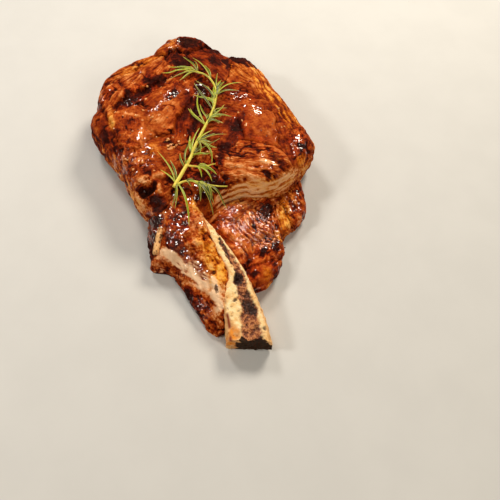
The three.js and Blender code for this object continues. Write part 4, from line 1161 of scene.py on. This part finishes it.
class Finish:
    """A material made of nodes around one Principled shader."""

    def __init__(self, name, **constants):
        self.material = bpy.data.materials.new(name)
        self.material.use_nodes = True
        self.tree = self.material.node_tree
        self.shader = self.tree.nodes["Principled BSDF"]
        for key, value in constants.items():
            self.shader.inputs[self.label(key)].default_value = value
        self.place = self.node("ShaderNodeTexCoord", out="Object")

    @staticmethod
    def label(key):
        """The shader's own name of a socket, such as Coat IOR for coat_ior."""
        return key.replace("_", " ").title().replace("Ior", "IOR")

    def node(self, kind, settings=None, sockets=None, out=0):
        """Adds a node: its settings first, a ramp's stops among them, then its sockets' values or
        links, by name or number. Returns the output `out`."""
        made = self.tree.nodes.new(kind)
        for key, value in (settings or {}).items():
            if key == "stops":
                elements = made.color_ramp.elements
                while len(elements) < len(value):
                    elements.new(0.5)
                for element, (place, colour) in zip(elements, value):
                    element.position = place
                    element.color = (*colour, 1)
            else:
                setattr(made, key, value)
        for key, value in (sockets or {}).items():
            self.feed(made.inputs[key], value)
        return Socket(self, made.outputs[out])

    def feed(self, socket, value):
        """Links a socket, or sets its number or colour."""
        if isinstance(value, Socket):
            self.tree.links.new(value.output, socket)
        elif socket.type == "RGBA":
            socket.default_value = (*value, 1)
        else:
            socket.default_value = value

    def value(self, name, out="Fac"):
        """A value stored at the piece's points, or with "Vector" for `out` a vector."""
        return self.node("ShaderNodeAttribute", {"attribute_name": name}, out=out)

    def stretch(self, vector, scale):
        """A vector with each of its parts times a number."""
        return self.node("ShaderNodeVectorMath", {"operation": "MULTIPLY"}, {0: vector, 1: scale})

    def noise(self, size, detail=3.0, roughness=0.55, vector=None):
        """Noise whose features are `size` millimetres across."""
        sockets = {
            "Vector": vector or self.place, "Scale": 1 / (size * MM),
            "Detail": detail, "Roughness": roughness,
        }
        return self.node("ShaderNodeTexNoise", None, sockets, "Fac")

    def range(self, value, low, high, to_low=0.0, to_high=1.0):
        """The value moved from one range to another, smoothly and held inside it."""
        settings = {"interpolation_type": "SMOOTHSTEP"}
        sockets = {"Value": value, "From Min": low, "From Max": high, "To Min": to_low, "To Max": to_high}
        return self.node("ShaderNodeMapRange", settings, sockets)

    def ramp(self, value, stops):
        """The colour at the value's place between stops of (place, colour)."""
        return self.node("ShaderNodeValToRGB", {"stops": stops}, {"Fac": value})

    def blend(self, factor, first, second):
        """The first colour mixed towards the second."""
        return self.node("ShaderNodeMix", {"data_type": "RGBA"}, {0: factor, 6: first, 7: second}, 2)

    def bump(self, height, strength, distance):
        """Normals as if the surface had the height, `distance` millimetres high at most."""
        sockets = {"Height": height, "Strength": strength, "Distance": distance * MM}
        return self.node("ShaderNodeBump", None, sockets, "Normal")

    def finish(self, **sockets):
        """Links the shader's sockets and returns the material."""
        for key, value in sockets.items():
            self.feed(self.shader.inputs[self.label(key)], value)
        return self.material


def meat_finish(colours):
    """Grilled meat under a glaze. A tone runs from burnt to pale along a ramp of browns; fat, red
    juice, membrane and char are laid over it, and fine noise breaks every edge."""
    f = Finish("grilled_meat", specular_ior_level=0.05, coat_roughness=0.05, coat_ior=1.7)
    fine = f.noise(1.7)
    medium = f.noise(6.0)
    fibre = f.noise(7.0, 2.0, 0.6, f.stretch(f.value("grain", "Vector"), (1.0, 6.0, 1.0)))
    rough, wet, char, fibrous = (f.value(name) for name in ("rough", "wet", "char", "fibrous"))
    speckle, strand = f.range(fine, 0.36, 0.64, -0.5, 0.5), f.range(fibre, 0.36, 0.62, -0.5, 0.5)
    grain = speckle * (0.1 + 0.22 * rough) + (medium - 0.5) * (0.7 + 0.5 * rough)
    scorched = f.range(char + (medium - 0.5) * 0.8, 0.05, 0.85)
    tone = f.value("tone") + grain + strand * (fibrous * 0.2 + 0.03) - scorched * 0.36
    browns = f.ramp(tone, [
        (0.0, colours.burnt), (0.18, colours.dark), (0.38, colours.brown), (0.58, colours.tan),
        (0.76, colours.pale), (0.95, colours.palest),
    ])
    reds = f.ramp(tone, [
        (0.0, colours.burnt), (0.2, colours.deep_red), (0.5, colours.red), (0.78, colours.glaze_light),
    ])
    reddened = f.blend((f.value("red") * f.range(medium, 0.35, 0.6)).clamp(), browns, reds)
    fat_part = (f.value("fat") * f.range(fine + fibre, 0.8, 1.1, 0.3, 1.0)).clamp()
    fatty = f.blend(fat_part, reddened, f.ramp(tone, [
        (0.05, colours.dark), (0.3, colours.fat_dark), (0.55, colours.fat), (0.85, colours.fat_pale),
    ]))
    skin = f.blend(f.value("membrane") * 0.9, fatty, f.ramp(tone, [
        (0.15, colours.dark), (0.42, colours.skin_dark), (0.75, colours.skin),
    ]))
    black = f.range(char + (fine - 0.5) * 2.8 + (medium - 0.5) * 0.6, 0.92, 1.25)
    colour = f.blend(black * 0.9, skin, f.blend(speckle + 0.5, colours.char, colours.char_light))
    shine = f.range(f.noise(4.5, 2.0) + (wet - 0.42) * 0.45, 0.5, 0.62)
    height = (medium - 0.5) * 0.7 + (fine - 0.5) * (0.25 + 0.4 * rough) + (fibre - 0.5) * (fibrous * 0.5)
    return f.finish(
        base_color=colour,
        roughness=(0.62 - shine * 0.36 + (fine - 0.5) * 0.2).clamp(),
        coat_weight=(shine * colours.glaze).clamp(),
        normal=f.bump(height * (1.0 - f.value("slick") * 0.85), 1.0, 2.2),
    )


def bone_finish(colours):
    """Roasted bone: cream and hard at the edges, orange where juice has run over it, dark and
    spongy in the marrow, and black where it is burnt."""
    f = Finish("roasted_bone", specular_ior_level=0.2)
    fine, medium = f.noise(0.9), f.noise(4.5)
    cream = f.ramp(medium + (fine - 0.5) * 0.35, [
        (0.25, colours.bone_tan), (0.5, colours.bone), (0.75, colours.bone_pale),
    ])
    juice = f.ramp(medium, [(0.3, colours.fat_dark), (0.6, colours.bone_orange)])
    stained = f.blend((f.value("orange") * f.range(medium, 0.3, 0.6, 0.45, 1.0)).clamp(), cream, juice)
    specked = f.blend((f.value("speck") * 0.7).clamp(), stained, colours.brown)
    marrow = f.ramp(f.value("sponge") * 0.55 + (fine - 0.5) * 1.6 + f.value("dark") * 0.55, [
        (0.0, colours.marrow_pale), (0.3, colours.marrow), (0.8, colours.marrow_dark),
    ])
    marrowed = f.blend((f.value("marrow") + (fine - 0.5) * 0.3).clamp(), specked, marrow)
    holed = f.blend(f.value("hole").clamp(), marrowed, colours.marrow_dark)
    burnt = f.range(f.value("burnt") + (fine - 0.5) * 1.2, 0.3, 0.75)
    colour = f.blend(burnt * 0.97, holed, f.blend(f.range(fine, 0.5, 0.75), colours.char, colours.dark))
    return f.finish(
        base_color=colour, roughness=(0.5 + burnt * 0.45 + (fine - 0.5) * 0.3).clamp(),
        normal=f.bump(medium * 0.4 + fine * 0.6, 0.5, 0.5),
    )


def leaf_finish(colours):
    """A rosemary needle: leathery green above, with a dusty pale underside and edges."""
    f = Finish("rosemary_leaf", specular_ior_level=0.42)
    fine = f.noise(0.8, 2.0)
    green = f.blend(f.range(f.value("shade"), 0.1, 0.8), colours.leaf_dark, colours.leaf)
    tipped = f.blend(f.range(f.value("along"), 0.75, 1.0, 0.0, 0.5), green, colours.leaf_pale)
    colour = f.blend((f.value("pale") + (fine - 0.5) * 0.4).clamp(), tipped, colours.leaf_pale)
    return f.finish(base_color=colour, roughness=0.34 + (fine - 0.5) * 0.2, normal=f.bump(fine, 0.3, 0.3))


def bark_finish(colours):
    """The stalk: yellow-green, browner towards the cut end, with streaks along it."""
    f = Finish("rosemary_stalk", specular_ior_level=0.4)
    fine = f.noise(0.9)
    colour = f.blend(f.range(f.value("along"), 0.0, 0.5), colours.stalk_old, colours.stalk)
    streaked = f.blend(f.range(fine, 0.4, 0.7), colour, colours.leaf_pale)
    return f.finish(base_color=streaked, roughness=0.55 + (fine - 0.5) * 0.2, normal=f.bump(fine, 0.5, 0.4))


def crumb_finish(name, dark, light, roughness):
    """A crumb: each a little lighter or darker than the next, with a grainy skin."""
    f = Finish(name, specular_ior_level=0.5, coat_weight=0.4)
    fine = f.noise(0.6, 2.0)
    colour = f.blend((f.value("shade") * 0.7 + fine * 0.4).clamp(), dark, light)
    roughness = roughness + (fine - 0.5) * 0.2
    return f.finish(base_color=colour, roughness=roughness, normal=f.bump(fine, 0.5, 0.3))


def floor_finish(colours):
    """A plain pale matt surface with hardly any grain."""
    f = Finish("pale_floor", specular_ior_level=0.2)
    shade = f.range(f.noise(40.0), 0.3, 0.7)
    colour = f.blend(shade, colours.floor, tuple(0.97 * value for value in colours.floor))
    return f.finish(base_color=colour, roughness=0.8)


# ---------- the stage ----------


def matrix_of(right, up, back, place):
    """The matrix of something at `place` that has these three axes and looks along -back."""
    return Matrix([(*right, 0), (*up, 0), (*back, 0), (*place, 1)]).transposed()


def facing(place, target):
    """The matrix of something at `place` that looks at the target."""
    back = np.array(place, float) - np.array(target, float)
    back /= np.linalg.norm(back)
    right = np.cross((0, 1, 0.01), back)
    right /= np.linalg.norm(right)
    return matrix_of(right, np.cross(back, right), back, place)


def make_floor(finish):
    """A flat square of quads just under the steak."""
    row = FLOOR_CELLS + 1
    u = np.linspace(-FLOOR_HALF, FLOOR_HALF, row)
    x, y = (v.ravel() for v in np.meshgrid(u, u, indexing="ij"))
    i = np.arange(FLOOR_CELLS)[:, None] * row + np.arange(FLOOR_CELLS)
    quads = np.stack([i, i + row, i + row + 1, i + 1], axis=2).reshape(-1, 4)
    mesh = bpy.data.meshes.new("floor")
    mesh.from_pydata(np.column_stack([x, y, np.full(x.size, -FLOOR_DROP)]).tolist(), [], quads.tolist())
    mesh.materials.append(finish)
    placed("floor", mesh)


def make_lights():
    """Round soft lamps. Returns a dim warm sky."""
    for name, place, target, size, power, colour in LIGHTS:
        light = bpy.data.lights.new(name, "AREA")
        light.shape, light.size, light.energy, light.color = "DISK", size, power, colour
        placed(name, light, facing(place, target))
    world = bpy.data.worlds.new("studio")
    world.use_nodes = True
    background = world.node_tree.nodes["Background"]
    background.inputs["Color"].default_value = (*SKY, 1)
    background.inputs["Strength"].default_value = SKY_STRENGTH
    return world


def make_camera():
    """The camera at its place, turned to its three axes."""
    camera = bpy.data.cameras.new("camera")
    camera.lens, camera.sensor_width = CAMERA_LENS, CAMERA_SENSOR
    camera.clip_start, camera.clip_end = 0.01, 20
    return placed("camera", camera, matrix_of(CAMERA_RIGHT, CAMERA_UP, CAMERA_BACK, CAMERA_PLACE))


# ---------- the add-on ----------


def length(name, description, default):
    """A size that a user may change."""
    return bpy.props.FloatProperty(
        name=name, description=description, default=default, min=0, precision=4, unit="LENGTH"
    )


def hue(name, description, *screen):
    """A colour that a user may change, given as a screen shows it."""
    return bpy.props.FloatVectorProperty(
        name=name, description=description, default=srgb(*screen), size=3, min=0, max=1, subtype="COLOR"
    )


class SteakSizes(bpy.types.PropertyGroup):
    """The steak's main sizes, in metres."""

    eye_thickness: length("Eye thickness", "Height of the eye at its edge", 0.037)
    eye_crown: length("Eye crown", "How much higher the middle of the eye stands", 0.0025)
    flap_height: length("Flap height", "Height of the flap by the bone", 0.021)
    fibre_depth: length("Fibre depth", "Depth of the relief along the fibres", 0.001)
    needle_width: length("Needle width", "Width of a rosemary needle", 0.0017)
    needle_thickness: length("Needle thickness", "Thickness of a rosemary needle", 0.0009)


class SteakColours(bpy.types.PropertyGroup):
    """The steak's colours and how wet it looks."""

    # burnt is also the tone that seams, cracks and hollows reach, where it stands for painted shade.
    burnt: hue("Burnt", "Deepest brown in seams and holes", 44, 6, 1)
    dark: hue("Dark", "Dark browned crust", 84, 18, 1)
    brown: hue("Brown", "Browned meat", 134, 44, 3)
    tan: hue("Tan", "Lightly browned meat", 176, 82, 24)
    pale: hue("Pale", "Pale meat", 206, 122, 62)
    palest: hue("Palest", "Palest meat", 234, 172, 118)
    deep_red: hue("Deep red", "Dark glazed meat", 92, 14, 1)
    red: hue("Red", "Glazed meat", 168, 52, 4)
    glaze_light: hue("Light glaze", "Glazed meat where it is light", 216, 108, 34)
    fat_dark: hue("Browned fat", "Fat in its dark parts", 150, 66, 3)
    fat: hue("Fat", "Golden fat", 212, 116, 8)
    fat_pale: hue("Pale fat", "Fat where it is palest", 244, 176, 72)
    skin_dark: hue("Dark membrane", "Membrane in its dark parts", 156, 94, 58)
    skin: hue("Membrane", "Dried membrane over the rib", 238, 198, 158)
    char: hue("Char", "Burnt meat", 14, 6, 4)
    char_light: hue("Light char", "Burnt meat in its lighter grains", 60, 20, 6)
    bone: hue("Bone", "Sawn bone", 246, 210, 148)
    bone_pale: hue("Pale bone", "Bone at its palest", 255, 234, 190)
    bone_tan: hue("Tan bone", "Bone stained by roasting", 222, 160, 88)
    bone_orange: hue("Orange bone", "Bone under orange fat", 234, 142, 42)
    marrow: hue("Marrow", "Spongy marrow", 132, 68, 38)
    marrow_pale: hue("Pale marrow", "Marrow in its lighter parts", 192, 124, 74)
    marrow_dark: hue("Dark marrow", "Holes in the marrow", 48, 24, 16)
    leaf: hue("Needle", "A lighter needle's upper side", 136, 152, 6)
    leaf_dark: hue("Dark needle", "A darker needle's upper side", 34, 52, 0)
    leaf_pale: hue("Pale needle", "A needle's underside and edges", 236, 222, 96)
    stalk: hue("Stalk", "The young stalk", 196, 180, 50)
    stalk_old: hue("Old stalk", "The stalk by its cut end", 232, 206, 84)
    garlic: hue("Garlic", "A light bit of garlic", 232, 160, 84)
    garlic_dark: hue("Browned garlic", "A browned bit of garlic", 176, 96, 34)
    pepper: hue("Pepper", "A light grain of pepper", 70, 44, 30)
    pepper_dark: hue("Dark pepper", "A dark grain of pepper", 20, 14, 12)
    floor: hue("Floor", "The floor under the steak", 206, 204, 200)
    glaze: bpy.props.FloatProperty(
        name="Glaze", description="How strong the wet coat is", default=1.0, min=0, max=1, subtype="FACTOR"
    )


MADE = {}  # the meat's finish, and the points of the pieces that others lie on


class STEAK_OT_eye(bpy.types.Operator):
    """Make the eye of the steak"""

    bl_idname = "steak.eye"
    bl_label = "Eye"

    def execute(self, context):
        MADE["meat"] = meat_finish(context.scene.steak_colours)
        MADE["eye"] = make_eye(context.scene.steak_sizes, MADE["meat"])
        return {"FINISHED"}


class STEAK_OT_flap(bpy.types.Operator):
    """Make the flap of meat on the bone's right"""

    bl_idname = "steak.flap"
    bl_label = "Flap"

    def execute(self, context):
        MADE["flap"] = make_flap(context.scene.steak_sizes, MADE["meat"])
        return {"FINISHED"}


class STEAK_OT_strip(bpy.types.Operator):
    """Make the browned strip on the bone's left"""

    bl_idname = "steak.strip"
    bl_label = "Strip"

    def execute(self, context):
        MADE["strip"] = make_strip(context.scene.steak_sizes, MADE["meat"])
        return {"FINISHED"}


class STEAK_OT_bones(bpy.types.Operator):
    """Make the rib bone and the splinter of feather bone"""

    bl_idname = "steak.bones"
    bl_label = "Bones"

    def execute(self, context):
        finish = bone_finish(context.scene.steak_colours)
        MADE["rib"] = make_rib(finish)
        make_feather(finish)
        return {"FINISHED"}


class STEAK_OT_rosemary(bpy.types.Operator):
    """Lay the sprig of rosemary over the steak"""

    bl_idname = "steak.rosemary"
    bl_label = "Rosemary"

    def execute(self, context):
        colours = context.scene.steak_colours
        surface = HeightMap(np.vstack([MADE[key] for key in ("eye", "flap", "strip", "rib")]), SPRIG_CELL)
        stalks = make_stalks(surface, bark_finish(colours))
        make_needles(context.scene.steak_sizes, stalks, surface, leaf_finish(colours))
        return {"FINISHED"}


class STEAK_OT_crumbs(bpy.types.Operator):
    """Scatter the pepper and the bits of garlic over the steak"""

    bl_idname = "steak.crumbs"
    bl_label = "Crumbs"

    def execute(self, context):
        colours = context.scene.steak_colours
        rng = np.random.default_rng(CRUMB_SEED)
        surface = HeightMap(np.vstack([MADE["eye"], MADE["flap"]]), CRUMB_CELL)
        garlic = crumb_finish("garlic", colours.garlic_dark, colours.garlic, 0.45)
        pepper = crumb_finish("pepper", colours.pepper_dark, colours.pepper, 0.5)
        make_crumbs("crumbs_garlic", GARLIC_PLACES, GARLIC_BIT, surface, garlic, rng)
        make_crumbs("crumbs_pepper", PEPPER_PLACES, PEPPER_GRAIN, surface, pepper, rng)
        return {"FINISHED"}


class STEAK_OT_stage(bpy.types.Operator):
    """Set the floor, the lights and the camera"""

    bl_idname = "steak.stage"
    bl_label = "Stage"

    def execute(self, context):
        scene = context.scene
        make_floor(floor_finish(scene.steak_colours))
        scene.world = make_lights()
        scene.camera = make_camera()
        scene.view_settings.view_transform = "Standard"
        scene.view_settings.look = "None"
        return {"FINISHED"}


class STEAK_PT_panel(bpy.types.Panel):
    """The steak's pieces, sizes and colours"""

    bl_idname = "STEAK_PT_panel"
    bl_label = "Cowboy Steak"
    bl_space_type = "VIEW_3D"
    bl_region_type = "UI"
    bl_category = "Steak"

    def draw(self, context):
        for operator in OPERATORS:
            self.layout.operator(operator.bl_idname)
        for group in (context.scene.steak_sizes, context.scene.steak_colours):
            for key in group.__annotations__:
                self.layout.prop(group, key)


OPERATORS = (
    STEAK_OT_eye, STEAK_OT_flap, STEAK_OT_strip, STEAK_OT_bones, STEAK_OT_rosemary, STEAK_OT_crumbs,
    STEAK_OT_stage,
)
CLASSES = (SteakSizes, SteakColours, *OPERATORS, STEAK_PT_panel)


def register():
    for cls in CLASSES:
        bpy.utils.register_class(cls)
    bpy.types.Scene.steak_sizes = bpy.props.PointerProperty(type=SteakSizes)
    bpy.types.Scene.steak_colours = bpy.props.PointerProperty(type=SteakColours)


def unregister():
    del bpy.types.Scene.steak_colours
    del bpy.types.Scene.steak_sizes
    for cls in reversed(CLASSES):
        bpy.utils.unregister_class(cls)


def main():
    """Makes every piece in order."""
    register()
    for operator in OPERATORS:
        group, name = operator.bl_idname.split(".")
        getattr(getattr(bpy.ops, group), name)()


if __name__ == "__main__":
    main()
